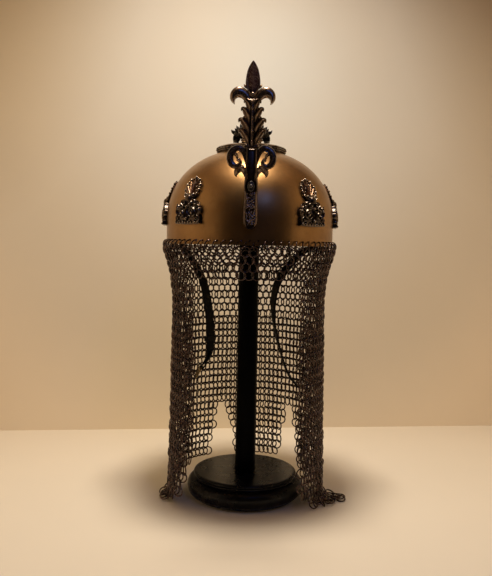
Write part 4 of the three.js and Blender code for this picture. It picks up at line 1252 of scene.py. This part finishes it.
    # blade: granular field inside a raised border
    g = Geo()
    ribbon(g, [(0, 491.5), (0, 496), (0, 501.5), (0, 505.5), (0, 510), (0, 515), (0, 520.6), (0, 525.4), (0, 528.3), (0, 529.9)], [3.0, 5.0, 7.6, 8.2, 7.9, 7.2, 5.8, 3.6, 1.8, 0.3],
           lambda t, q: 2.6 + 0.9 * (1 - abs(t)) + (0.8 * math.exp(-((abs(t) - 0.88) / 0.08) ** 2)), 17, 6)
    for sgn in (-1, 1):
        ribbon(g, [(sgn * 6.6, 500.2), (sgn * 8.8, 502.4), (sgn * 10.0, 504.2)], [0.8, 1.2, 0.2], leaf(2.0, 1.4, 0.2), 5, 4)
    for i in range(230):
        q = rng.uniform(0, 1)
        z = 497.5 + 27.5 * q
        lim = float(np.interp(z, [496, 501.5, 505.5, 510, 515, 520.6, 525.4], [3.6, 5.6, 6.3, 6.1, 5.4, 4.2, 2.3]))
        x = rng.uniform(-lim, lim)
        h = 2.6 + 0.9 * (1 - abs(x) / (lim + 1.6))
        ball(g, (x, -h, z), rng.uniform(0.32, 0.60), sy=0.8, nu=6, nv=4)
    make("nasal_blade_cast", g, CAST_BLADE, "nasal", [], fn=lambda v: v + np.array([0, BAR_BACK, 0]), sharp=50)


def round_box(g, c, half, r=0.6, n=2, R=None, mat=0):
    """A box with rounded edges, built from a rounded cross-section swept between two end caps."""
    x, y, z = half
    prof = rounded([(x, -y), (x, y), (-x, y), (-x, -y)], r, n, closed=True)
    prof = [np.array(p) for p in prof]
    rows = []
    for (zz, inset) in ((-z, r), (-z + r * 0.35, r * 0.35), (-z + r, 0), (z - r, 0), (z - r * 0.35, r * 0.35), (z, r)):
        for p in prof:
            sx, sy = (x - inset) / x, (y - inset) / y
            rows.append((p[0] * sx, p[1] * sy, zz))
    m = len(prof)
    v = np.array(rows)
    faces = []
    for k in range(5):
        for i in range(m):
            j = (i + 1) % m
            faces.append((k * m + i, k * m + j, (k + 1) * m + j, (k + 1) * m + i))
    faces.append(tuple(range(m))[::-1])
    faces.append(tuple(5 * m + i for i in range(m)))
    if R is not None:
        v = v @ np.asarray(R).T
    g.add(v + np.asarray(c, float), faces, mat)


def axis_y(v):
    """Turns a lathe standing on z to lie along -y."""
    return np.column_stack([v[:, 0], -v[:, 2], v[:, 1]])


def nasal_fittings():
    face = BAR_BACK + 0.35
    g = Geo()
    round_box(g, (0, face + 0.95, 409.2), (5.75, 0.92, 24.4), 0.5, 2)
    b = Geo()
    r_at = float(np.interp(STUD_Z, WALK[:, 2], WALK[:, 1]))
    lathe(b, rounded([(2.35, r_at - 0.9), (8.3, r_at - 0.9), (8.0, r_at + 1.2), (7.3, r_at + 2.6), (6.4, -face - 3.2), (6.6, -face - 1.6), (2.35, -face - 1.6)], 0.5, 2), 48, close=True)
    g.merge(b, fn=lambda v: axis_y(v) + np.array([0, 0, STUD_Z]))
    for sgn in (-1, 1):
        round_box(g, (0 + sgn * 0, face + 0.95, 409.2 + sgn * 23.2), (5.2, 1.0, 0.8), 0.3, 1)
    k = Geo()
    round_box(k, (0, face - 1.9, STUD_Z + 3.9), (2.6, 2.0, 1.0), 0.3, 1)
    round_box(k, (0, face - 1.9, STUD_Z - 3.9), (2.6, 2.0, 1.0), 0.3, 1)
    g.merge(k)
    make("nasal_bracket_cast", g, CAST, "helmet", ["nasal_bracket"], sharp=35)
    # stud with a hexagonal head inside the bowl and a rounded, threaded end in front
    g = Geo()
    s = Geo()
    lathe(s, rounded([(0, 91.0), (2.0, 91.0), (2.0, 119.6), (1.3, 120.4), (0, 120.5)], 0.3, 2), 24)
    for kk in range(5):
        pts = [np.array([2.02 * math.cos(a), 2.02 * math.sin(a), 115.4 + 0.8 * (kk + a / (2 * math.pi))]) for a in np.linspace(0, 2 * math.pi, 17)]
        tube(s, pts, 0.16, 4, 1, smooth=False)
    verts, faces = [], []
    r_in = r_at - WALL
    for (d, ro) in ((r_in - 5.2, 4.3), (r_in - 4.7, 5.0), (r_in - 0.9, 5.1), (r_in - 0.5, 4.7)):
        verts.extend([(ro * math.cos(math.radians(60 * i)), ro * math.sin(math.radians(60 * i)), d) for i in range(6)])
    for q in range(3):
        for i in range(6):
            j = (i + 1) % 6
            faces.append((q * 6 + i, q * 6 + j, (q + 1) * 6 + j, (q + 1) * 6 + i))
    faces.append((5, 4, 3, 2, 1, 0))
    faces.append((18, 19, 20, 21, 22, 23))
    s.add(verts, faces)
    g.merge(s, fn=lambda v: axis_y(v) + np.array([0, 0, STUD_Z]))
    make("nasal_stud_steel", g, STEEL, "helmet", ["nasal_stud"], sharp=25)
    # thumb nut: a boss between two lobes, its edge knurled
    g = Geo()
    seg = 72
    a = np.linspace(0, 2 * np.pi, seg, endpoint=False)
    lob = 3.95 + 1.85 * np.abs(np.sin(a)) ** 3 + 0.13 * np.cos(18 * a)
    rows = [(2.35, 0.1, 0), (1.0, 0.05, 1), (1.0, 0.5, 1), (1.0, 2.2, 1), (0.97, 3.0, 1), (0.86, 3.5, 1), (3.2, 3.7, 0), (3.0, 4.5, 0), (2.35, 4.6, 0)]
    verts = []
    for (k, h, rel) in rows:
        R = lob * k if rel else np.full(seg, k)
        verts.append(np.column_stack([R * np.cos(a), np.full(seg, NUT_BACK - h), STUD_Z + R * np.sin(a)]))
    faces = []
    m = len(rows)
    for i in range(m):
        A, B = i * seg, ((i + 1) % m) * seg
        for j in range(seg):
            q = (j + 1) % seg
            faces.append((A + j, B + j, B + q, A + q))
    g.add(np.concatenate(verts), faces)
    make("nasal_thumb_nut_knurled", g, STEEL, "thumb_nut", ["nasal_thumb_nut"], sharp=30)


# ------------------------------------------------------------------ leather
def sheet(g, fn, nu, nv, thick, close_u=False, holes=(), mat=0, edge=0.35):
    """A leather sheet: fn(i, j, d) gives a point at depth d; its edges are rounded over. holes are (i, j, radius) in grid steps."""
    top = [fn(i, j, thick) for i in range(nu) for j in range(nv)]
    bot = [fn(i, j, 0.0) for i in range(nu) for j in range(nv)]
    m = nu * nv
    gone = {}
    verts = list(top) + list(bot)
    for (ic, jc, rr) in holes:
        for a in (ic - 1, ic):
            for b in (jc - 1, jc):
                gone[(a, b)] = 1
    faces = []
    for i in range(nu if close_u else nu - 1):
        for j in range(nv - 1):
            if (i, j) in gone:
                continue
            k = (i + 1) % nu
            faces.append((i * nv + j, k * nv + j, k * nv + j + 1, i * nv + j + 1))
            faces.append((m + i * nv + j, m + i * nv + j + 1, m + k * nv + j + 1, m + k * nv + j))
    for (ic, jc, rr) in holes:
        ring = [(-1, -1), (0, -1), (1, -1), (1, 0), (1, 1), (0, 1), (-1, 1), (-1, 0)]
        rims = []
        for lay in (0, 1):
            base = len(verts)
            c = np.array(verts[lay * m + ic * nv + jc])
            ex = (np.array(verts[lay * m + (ic + 1) * nv + jc]) - np.array(verts[lay * m + (ic - 1) * nv + jc])) / 2
            ey = (np.array(verts[lay * m + ic * nv + jc + 1]) - np.array(verts[lay * m + ic * nv + jc - 1])) / 2
            ex, ey = ex / np.linalg.norm(ex), ey / np.linalg.norm(ey)
            for (dx, dy) in ring:
                l = math.hypot(dx, dy)
                verts.append(c + ex * dx / l * rr + ey * dy / l * rr)
            rims.append(base)
            for q in range(8):
                p = (q + 1) % 8
                A = lay * m + (ic + ring[q][0]) * nv + jc + ring[q][1]
                B = lay * m + (ic + ring[p][0]) * nv + jc + ring[p][1]
                f = (A, B, base + p, base + q)
                faces.append(f if lay == 0 else f[::-1])
        for q in range(8):
            p = (q + 1) % 8
            faces.append((rims[0] + q, rims[0] + p, rims[1] + p, rims[1] + q))
    # rounded edges: one extra row pushed outwards at half depth
    def wall(idx, outward):
        base = len(verts)
        for (t, o) in zip(idx, outward):
            verts.append((np.array(verts[t]) + np.array(verts[m + t])) / 2 + o * edge)
        for a in range(len(idx) - 1):
            faces.append((idx[a], base + a, base + a + 1, idx[a + 1]))
            faces.append((base + a, m + idx[a], m + idx[a + 1], base + a + 1))
        return base

    def outw(idx, inner):
        out = []
        for a, b in zip(idx, inner):
            d = np.array(verts[a]) - np.array(verts[b])
            out.append(d / (np.linalg.norm(d) + 1e-9))
        return out

    cols = list(range(nu)) + ([0] if close_u else [])
    lo = [i * nv for i in cols]
    hi = [i * nv + nv - 1 for i in cols]
    wall(lo, outw(lo, [v + 1 for v in lo]))
    wall(hi[::-1], outw(hi[::-1], [v - 1 for v in hi[::-1]]))
    if not close_u:
        l = list(range(nv))[::-1]
        r = [(nu - 1) * nv + j for j in range(nv)]
        wall(l, outw(l, [v + nv for v in l]))
        wall(r, outw(r, [v - nv for v in r]))
    g.add(np.array(verts), faces, mat)


def stitches(g, pts, normals, length=2.4, gap=1.5, r=0.32, mat=1, lift=0.1):
    """Short raised thread stitches along a line of points."""
    P = np.asarray(pts, float)
    Nn = np.asarray(normals, float)
    d = np.r_[0, np.cumsum(np.linalg.norm(np.diff(P, axis=0), axis=1))]
    s = gap
    while s + length < d[-1]:
        seg = []
        for k, (q, up) in enumerate(((s, -0.25), (s + length * 0.25, 0.18), (s + length * 0.75, 0.18), (s + length, -0.25))):
            p = np.array([np.interp(q, d, P[:, i]) for i in range(3)])
            n = np.array([np.interp(q, d, Nn[:, i]) for i in range(3)])
            seg.append(p + n * (up + lift))
        tube(g, seg, r, 5, 2, mat=mat)
        s += length + gap


def lining():
    g = Geo()
    nu, nv = 180, 9
    z0, z1 = 330.2, 360.8

    def fn(i, j, d):
        a = 2 * math.pi * i / nu
        z = z0 + (z1 - z0) * j / (nv - 1)
        r = 103.1 - d + 0.0
        return np.array([r * math.sin(a), -r * math.cos(a), z])

    holes = []
    for s in (-1, 1):
        holes.append((int(round((s * 67 % 360) / 2)), 4, 1.9))
    sheet(g, fn, nu, nv, 1.35, close_u=True, holes=holes)
    for z in (333.2, 357.6):
        aa = np.linspace(0, 2 * math.pi, 361)
        P = [np.array([101.7 * math.sin(a), -101.7 * math.cos(a), z]) for a in aa]
        Nn = [np.array([-math.sin(a), math.cos(a), 0]) for a in aa]
        stitches(g, P, Nn, 3.0, 1.9, 0.36)
    make("liner_band_leather", g, [LINING, THREAD], "helmet", ["liner_band"])
    tongues = {"front": 0, **MOUNT_ANGLES}
    s0, s1 = float(length_at(350)), TOTAL_S - 26
    mount_s = float(length_at(378.5))
    stud_s = float(length_at(STUD_Z))
    for name, deg in tongues.items():
        g = Geo()
        nu, nv = 21, 61
        hole_s = stud_s if name == "front" else mount_s
        jh = int(round((hole_s - s0) / (s1 - s0) * (nv - 1)))

        def width(t):
            return 33 if t < 0.3 else 33 - (t - 0.3) / 0.7 * 26.5

        def fn(i, j, d, deg=deg):
            t = j / (nv - 1)
            # the leather hangs in a soft curve between its fixings and puckers towards the lace
            w = width(t) - 0.45
            u = (2 * i / (nu - 1) - 1)
            pucker = 0.35 * max(0, t - 0.6) / 0.4 * math.cos(u * math.pi * 3)
            inset = WALL + 2.9 + 2.4 * max(0, (t - 0.45) / 0.55) + pucker
            h = -(inset + 1.6 - d)
            s = s0 + 0.4 + (s1 - s0 - 0.8) * t
            return on_bowl(deg, np.array([u * w]), np.array([s]), np.array([h]))[0]

        # sheet() puts its "thick" side on the outside of the helmet; the head side is d = 0
        rr = 5.6 if name == "front" else 2.4
        big = []
        if rr < 3:
            big = [(10, jh, rr)]
        sheet(g, lambda i, j, d: fn(i, j, d), nu, nv, 1.5, holes=big)
        for sgn in (-1, 1):
            P, Nn = [], []
            for j in range(0, 119):
                t = 0.02 + 0.96 * j / 118
                w = width(t) - 3.4
                inset = WALL + 2.9 + 2.4 * max(0, (t - 0.45) / 0.55) + 0.35 * max(0, t - 0.6) / 0.4 * math.cos(w / max(width(t), 1) * math.pi * 3)
                s = s0 + 0.4 + (s1 - s0 - 0.8) * t
                p = on_bowl(deg, np.array([sgn * w]), np.array([s]), np.array([-(inset + 1.62)]))[0]
                p2 = on_bowl(deg, np.array([sgn * w]), np.array([s]), np.array([-(inset + 2.62)]))[0]
                P.append(p)
                Nn.append(p2 - p)
            stitches(g, P, Nn, 2.8, 1.8, 0.34)
        o = make("liner_tongue_%s_leather" % name, g, [SUEDE, THREAD], "helmet", ["liner_tongue_" + name])
    # lace that gathers the tongues' tips, with a knot at the back
    g = Geo()
    pts = []
    for i in range(65):
        a = 2 * math.pi * i / 64
        wob = 0.25 * math.sin(8 * a)
        pts.append(np.array([(19.5 + wob) * math.sin(a), -(19.5 + wob) * math.cos(a), 437 + 0.35 * math.cos(8 * a)]))
    tube(g, pts, 1.05, 10, 2)
    for i in range(120):
        a = 2 * math.pi * i / 120
        c = np.array([19.5 * math.sin(a), -19.5 * math.cos(a), 437 + 0.35 * math.cos(8 * a)])
        er = np.array([math.sin(a), -math.cos(a), 0])
        et = np.array([math.cos(a), math.sin(a), 0])
        seg = [c + 1.0 * (er * math.cos(b) + np.array([0, 0, 1.0]) * math.sin(b)) + et * (b / math.pi * 0.6) for b in np.linspace(0.2, 2.6, 5)]
        tube(g, seg, 0.16, 4, 1, smooth=False)
    ball(g, (0, 19.6, 437), 1.9, sz=0.9)
    make("liner_lace_cord", g, LEATHER, "helmet", ["liner_lace"])


STRAP_Y = -39.0
LEFT_STRAP = [(-91.1, 348.6, -23), (-90.9, 337.5, -20), (-85.4, 327, -4), (-75, 314, 18), (-59, 287, 28), (-50.5, 256, 32), (-46.5, 219, 32), (-47, 192, 24), (-53, 178, 12)]
RIGHT_STRAP = [(91.1, 348.6, 23), (90.9, 337.5, 18), (83, 328, -6), (68, 320, -28), (50, 303, -34), (35.5, 280, -30), (31, 256, -18), (32.5, 230, -8), (40, 199, -4), (51, 168, 0), (66, 149, 0)]


def strap_frame(points, per=9):
    D = catmull(np.array([(x, STRAP_Y, z, tw) for x, z, tw in points], float), per)
    P = D[:, :3]
    T = np.gradient(P, axis=0)
    T /= np.linalg.norm(T, axis=1)[:, None]
    A = np.column_stack([np.sin(np.radians(D[:, 3])), np.cos(np.radians(D[:, 3])), np.zeros(len(D))])
    A -= T * (A * T).sum(1)[:, None]
    A /= np.linalg.norm(A, axis=1)[:, None]
    O = np.cross(T, A)
    return P, T, A, O


def straps():
    for name, pts, sgn in (("left", LEFT_STRAP, -1), ("right", RIGHT_STRAP, 1)):
        P, T, A, O = strap_frame(pts)
        n = len(P)
        nu = 13
        d = np.r_[0, np.cumsum(np.linalg.norm(np.diff(P, axis=0), axis=1))]

        def fn(i, j, dd):
            u = 2 * i / (nu - 1) - 1
            w = 7.3
            if name == "right":
                e = d[-1] - d[j]
                w = 7.3 * math.sqrt(max(0.02, 1 - max(0, (7 - e) / 7) ** 2)) if e < 7 else 7.3
            e0 = d[j]
            if e0 < 5:
                w = 7.3 * (0.75 + 0.25 * e0 / 5)
            crown = 0.28 * (1 - u * u)
            off = (dd - 0.9) * (1 - 0.0) + (crown if dd > 0.9 else -crown * 0.3)
            return P[j] + A[j] * u * w + O[j] * off

        holes = []
        pivot = radial(sgn * 67, 91, 343)
        jp = int(np.argmin(np.linalg.norm(P - np.array([pivot[0], pivot[1], 343]), axis=1)))
        holes.append((6, max(2, jp), 2.2))
        if name == "right":
            for k in range(5):
                j = int(np.argmin(abs(d - (d[-1] - 16 - 12 * k))))
                holes.append((6, j, 1.25))
        g = Geo()
        sheet(g, fn, nu, n, 1.8, holes=holes, edge=0.45)
        for side in (-1, 1):
            for face in (1, -1):
                idx = [k for k in range(n) if 8 < d[k] < d[-1] - (8 if name == "right" else 3)]
                L = [P[k] + A[k] * side * 5.6 + O[k] * (1.02 if face > 0 else -0.98) for k in idx]
                M_ = [O[k] * face for k in idx]
                stitches(g, L, M_, 2.2, 1.3, 0.30)
        if name == "left":
            # turned round the buckle's bar and stitched back on itself
            px, ax, ox, tx = P[-1], A[-1], O[-1], T[-1]
            bar = np.array([-59.8, STRAP_Y, 167.2]) + np.array([0.5, 0, 0.866]) * 7.7
            loop = []
            for q in range(17):
                a = math.pi * (q / 16) * 1.0 - math.pi / 2
                loop.append(bar + ox * 2.1 * math.sin(a) + tx * 2.1 * math.cos(a))
            up = px - tx * 12
            path = [px + ox * -0.9] + loop + [px + ox * 1.6, up + ox * 1.75, up - tx * 6 + ox * 1.6]
            path = np.array([np.array(p, float) for p in path])
            path = catmull(path, 3)
            TT = np.gradient(path, axis=0)
            TT /= np.linalg.norm(TT, axis=1)[:, None]
            ya = np.array([0, 1.0, 0])
            no = np.cross(TT, ya)
            m2 = len(path)

            def wrap(i, j, dd):
                u = 2 * i / 8 - 1
                return path[j] + ya * u * 6.7 + no[j] * (dd - 0.6)

            sheet(g, wrap, 9, m2, 1.2, edge=0.3)
        make("chin_strap_%s_leather" % name, g, [LEATHER, THREAD_DARK], "strap_" + name, ["chin_strap_" + name])
        # rivet through the band
        h = Geo()
        lathe(h, rounded([(0, 95.2), (2.2, 95.25), (3.6, 95.8), (4.4, 97.0), (4.2, 97.4), (2.1, 97.5), (2.1, 102.9), (0, 103.1)], 0.4, 2), 24)
        a = math.radians(sgn * 67)
        er = np.array([math.sin(a), -math.cos(a), 0])
        et = np.array([math.cos(a), math.sin(a), 0])
        R = np.column_stack([et, np.cross(er, et), er])
        make("chin_strap_rivet_%s_domed" % name, h, BRASS, "helmet", ["chin_strap_rivet_" + name], fn=lambda v, R=R: v @ R.T + np.array([0, 0, 343.0]))


def buckle():
    ex, ey, ez = np.array([0, 1.0, 0]), np.array([0.5, 0, 0.866]), np.array([0.866, 0, -0.5])
    c = np.array([-59.8, STRAP_Y, 167.2])
    M = np.column_stack([ex, ey, ez])
    g = Geo()
    loop = rounded([(-9.7, -7.7), (9.7, -7.7), (9.7, 7.7), (-9.7, 7.7)], 3.2, 5, closed=True)
    loop = [np.array([x, y, 0.25 * (1 - (y / 7.7) ** 2)]) for x, y in loop]
    n = len(loop)
    seg = 10
    verts, faces = [], []
    for i in range(n):
        t = loop[(i + 1) % n] - loop[i - 1]
        t /= np.linalg.norm(t)
        z = np.array([0, 0, 1.0])
        s = np.cross(t, z)
        for k in range(seg):
            a = 2 * math.pi * k / seg
            verts.append(loop[i] + s * 1.25 * math.cos(a) + z * 1.1 * math.sin(a))
    for i in range(n):
        j = (i + 1) % n
        for k in range(seg):
            q = (k + 1) % seg
            faces.append((i * seg + k, j * seg + k, j * seg + q, i * seg + q))
    g.add(verts, faces)
    make("buckle_frame_cast", g, BRASS_DARK, "strap_left", ["buckle_frame"], fn=lambda v: v @ M.T + c)
    g = Geo()
    path = [(0, 7.3, -2.1), (0, 6.4, -2.35), (0, 3.0, -2.3), (0, -2.0, -2.1), (0, -5.0, -1.95), (0, -6.4, -1.8)]
    tube(g, path, [1.05, 1.0, 0.95, 0.9, 0.8, 0.45], 12, 6, flat=1.05)
    ringp = [(0, 7.7 + 1.5 * math.cos(a), -0.0 - 2.2 + 1.5 * math.sin(a)) for a in np.linspace(-2.4, 2.4, 15)]
    ball(g, (0, 7.4, -2.2), 1.2, sx=1.2)
    make("buckle_tongue_bar", g, BRASS_DARK, "buckle_tongue", ["buckle_tongue"], fn=lambda v: v @ M.T + c)
    # keeper loop round the strap
    th = math.radians(30)
    K = np.column_stack([[math.sin(th), math.cos(th), 0], [math.cos(th), -math.sin(th), 0], [0, 0, -1.0]])
    kc = np.array([-46.6, STRAP_Y, 213.0])
    outline = rounded([(-9.2, -2.6), (9.2, -2.6), (9.2, 2.6), (-9.2, 2.6)], 1.8, 4, closed=True)
    m = len(outline)
    g = Geo()

    def fn(i, j, d):
        x, y = outline[i]
        l = math.hypot(x, y * 3)
        k = 1 + (d - 0.7) / 9.0
        ky = 1 + (d - 0.7) / 2.7
        z = 0.2 + 5.6 * j / 6
        bulge = 0.12 * math.sin(math.pi * j / 6)
        return np.array([x * k, y * ky + math.copysign(bulge, y), z])

    sheet(g, fn, m, 7, 1.3, close_u=True, edge=0.25)
    for z in (1.1, 4.9):
        L = [np.array([x, -3.35, z]) for x in np.linspace(-7.5, 7.5, 20)]
        stitches(g, L, [np.array([0, -1.0, 0])] * 20, 1.6, 1.0, 0.22)
    make("strap_keeper_leather", g, [LEATHER, THREAD_DARK], "strap_left", ["strap_keeper"], fn=lambda v: v @ K.T + kc)


# ------------------------------------------------------------------ build everything
stand()
bowl()
total_rings = mail()
palmettes()
crown()
nasal()
nasal_fittings()
lining()
straps()
buckle()
print("rings", total_rings)


# ------------------------------------------------------------------ stage, light and camera
def paint_material(name, color, rough=0.9, mottle=0.05, scale=3.0):
    m, nt, b = new_material(name)
    n = N(nt)
    k = n.noise(scale, 4, 0.5)
    dark = tuple(c * (1 - mottle) for c in color)
    lite = tuple(min(1, c * (1 + mottle)) for c in color)
    n.link(n.mix(k, dark, lite), b.inputs["Base Color"])
    b.inputs["Roughness"].default_value = rough
    b.inputs["Specular IOR Level"].default_value = 0.15
    n.link(n.bump(n.noise(500, 3, 0.6), 0.06, 0.0006), b.inputs["Normal"])
    return m


# Wall paint with painted light: its colour is graded by distance from a point near the top middle of the wall, and its
# upper side corners are painted darker as painted shade.
def wall_painted_light_material(name):
    m = paint_material(name, (0.70, 0.62, 0.50))
    nt = m.node_tree
    b = next(k for k in nt.nodes if k.type == "BSDF_PRINCIPLED")
    n = N(nt)
    sep = nt.nodes.new("ShaderNodeSeparateXYZ")
    n.link(n.obj, sep.inputs[0])
    x = n.math("DIVIDE", n.math("SUBTRACT", sep.outputs[0], 0.035), 0.455)
    z = n.math("DIVIDE", n.math("SUBTRACT", sep.outputs[2], 0.62), 0.50)
    d = n.math("SQRT", n.math("ADD", n.math("MULTIPLY", x, x), n.math("MULTIPLY", z, z)))
    # painted light: colour graded outwards from a point a little right of the middle near the top
    col = n.ramp(n.math("MULTIPLY", d, 0.5), [(0.0, (0.72, 0.735, 0.70)), (0.22, (0.75, 0.715, 0.63)), (0.5, (0.76, 0.675, 0.53)), (0.72, (0.90, 0.78, 0.60))], "EASE")
    # painted shade: the upper side corners are darkened and warmed
    q = n.math("MULTIPLY", n.math("ABSOLUTE", x), n.math("DIVIDE", sep.outputs[2], 0.75))
    col = n.mix(n.ramp(q, [(0.45, 0.0), (1.0, 1.0)]), col, n.mix(1.0, col, (0.80, 0.73, 0.60), "MULTIPLY"))
    mottle = n.noise(5.0, 4, 0.5)
    col = n.mix(1.0, col, n.ramp(mottle, [(0.3, 0.965), (0.7, 1.0)]), "MULTIPLY")
    n.link(col, b.inputs["Base Color"])
    return m


def one_way(m):
    """A panel that a camera behind it looks straight through, so the alcove never hides what stands in it."""
    nt = m.node_tree
    n = N(nt)
    out = next(k for k in nt.nodes if k.type == "OUTPUT_MATERIAL")
    b = next(k for k in nt.nodes if k.type == "BSDF_PRINCIPLED")
    clear = nt.nodes.new("ShaderNodeBsdfTransparent")
    blend = nt.nodes.new("ShaderNodeMixShader")
    back = nt.nodes.new("ShaderNodeNewGeometry").outputs["Backfacing"]
    ray = nt.nodes.new("ShaderNodeLightPath").outputs["Is Camera Ray"]
    n.link(n.math("MULTIPLY", back, ray), blend.inputs[0])
    n.link(b.outputs[0], blend.inputs[1])
    n.link(clear.outputs[0], blend.inputs[2])
    n.link(blend.outputs[0], out.inputs[0])
    return m


WALL_PAINTED_LIGHT = one_way(wall_painted_light_material("backdrop_wall_painted_light"))
FLOOR_PAINT = paint_material("backdrop_floor_paint", (0.83, 0.765, 0.645))
CEILING_PAINT = one_way(paint_material("backdrop_ceiling_paint", (0.93, 0.67, 0.38)))


def slab(name, verts, mat, sub=8):
    """A backdrop panel as a fine grid, so its paint shades smoothly."""
    a, b, c, d = [np.array(v, float) for v in verts]
    V, F = [], []
    for i in range(sub + 1):
        for j in range(sub + 1):
            u, w = i / sub, j / sub
            V.append((a * (1 - u) + b * u) * (1 - w) + (d * (1 - u) + c * u) * w)
    for i in range(sub):
        for j in range(sub):
            k = i * (sub + 1) + j
            F.append((k, k + sub + 1, k + sub + 2, k + 1))
    if np.dot(np.cross(b - a, d - a), np.array([0, 0, 300.0]) - (a + b + c + d) / 4) < 0:
        F = [f[::-1] for f in F]
    g = Geo()
    g.add(V, F)
    return make(name, g, mat, stage=True, sharp=None)


def wall_y(x):
    return 320 + 0.113 * x


FRONT_L, FRONT_R, CEILING = -550, -370, 1010
slab("backdrop_floor", [(-436, FRONT_L, -0.3), (500, FRONT_R, -0.3), (500, wall_y(500), -0.3), (-436, wall_y(-436), -0.3)], FLOOR_PAINT)
slab("backdrop_wall", [(-436, wall_y(-436), -2), (500, wall_y(500), -2), (500, wall_y(500), CEILING), (-436, wall_y(-436), CEILING)], WALL_PAINTED_LIGHT)
slab("backdrop_side_left", [(-436, FRONT_L, -2), (-436, wall_y(-436), -2), (-436, wall_y(-436), CEILING), (-436, FRONT_L, CEILING)], WALL_PAINTED_LIGHT)
slab("backdrop_side_right", [(500, wall_y(500), -2), (500, FRONT_R, -2), (500, FRONT_R, CEILING), (500, wall_y(500), CEILING)], WALL_PAINTED_LIGHT)
slab("backdrop_ceiling", [(-436, FRONT_L, CEILING), (-436, wall_y(-436), CEILING), (500, wall_y(500), CEILING), (500, FRONT_R, CEILING)], CEILING_PAINT)


def area(name, loc, target, size, power, color, size_y=None, spread=180):
    l = bpy.data.lights.new(name, "AREA")
    l.shape = "RECTANGLE" if size_y else "SQUARE"
    l.size = size
    if size_y:
        l.size_y = size_y
    l.energy = power
    l.color = color
    l.spread = math.radians(spread)
    o = bpy.data.objects.new(name, l)
    bpy.context.scene.collection.objects.link(o)
    o.location = Vector(loc)
    o.rotation_euler = (Vector(target) - Vector(loc)).to_track_quat("-Z", "Y").to_euler()
    return o


area("light_overhead", (0.0, -0.08, 0.995), (0.0, -0.07, 0.0), 0.15, 4.6, (1.0, 0.865, 0.705), spread=146)
area("light_window", (0.31, -0.90, 0.97), (0.02, -0.10, 0.38), 0.20, 0.60, (0.09, 0.22, 1.0))

w = bpy.data.worlds.new("studio")
bpy.context.scene.world = w
w.use_nodes = True
bg = w.node_tree.nodes["Background"]
bg.inputs[0].default_value = (0.22, 0.16, 0.11, 1)
bg.inputs[1].default_value = 0.10

cam = bpy.data.cameras.new("camera")
cam.lens = 42.86
cam.sensor_width = 36
cam.sensor_fit = "AUTO"
cam.clip_start = 0.01
co = bpy.data.objects.new("camera", cam)
bpy.context.scene.collection.objects.link(co)
roll = 0.0200
mat = Matrix.Translation(Vector((-3.25, -885.6, 327.5)) * MM) @ Matrix.Rotation(math.radians(90 - 3.67), 4, "X") @ Matrix.Rotation(roll, 4, "Z")
co.matrix_world = mat
bpy.context.scene.camera = co
vs = bpy.context.scene.view_settings
vs.view_transform = "Standard"
vs.look = "None"
vs.exposure = 0.0
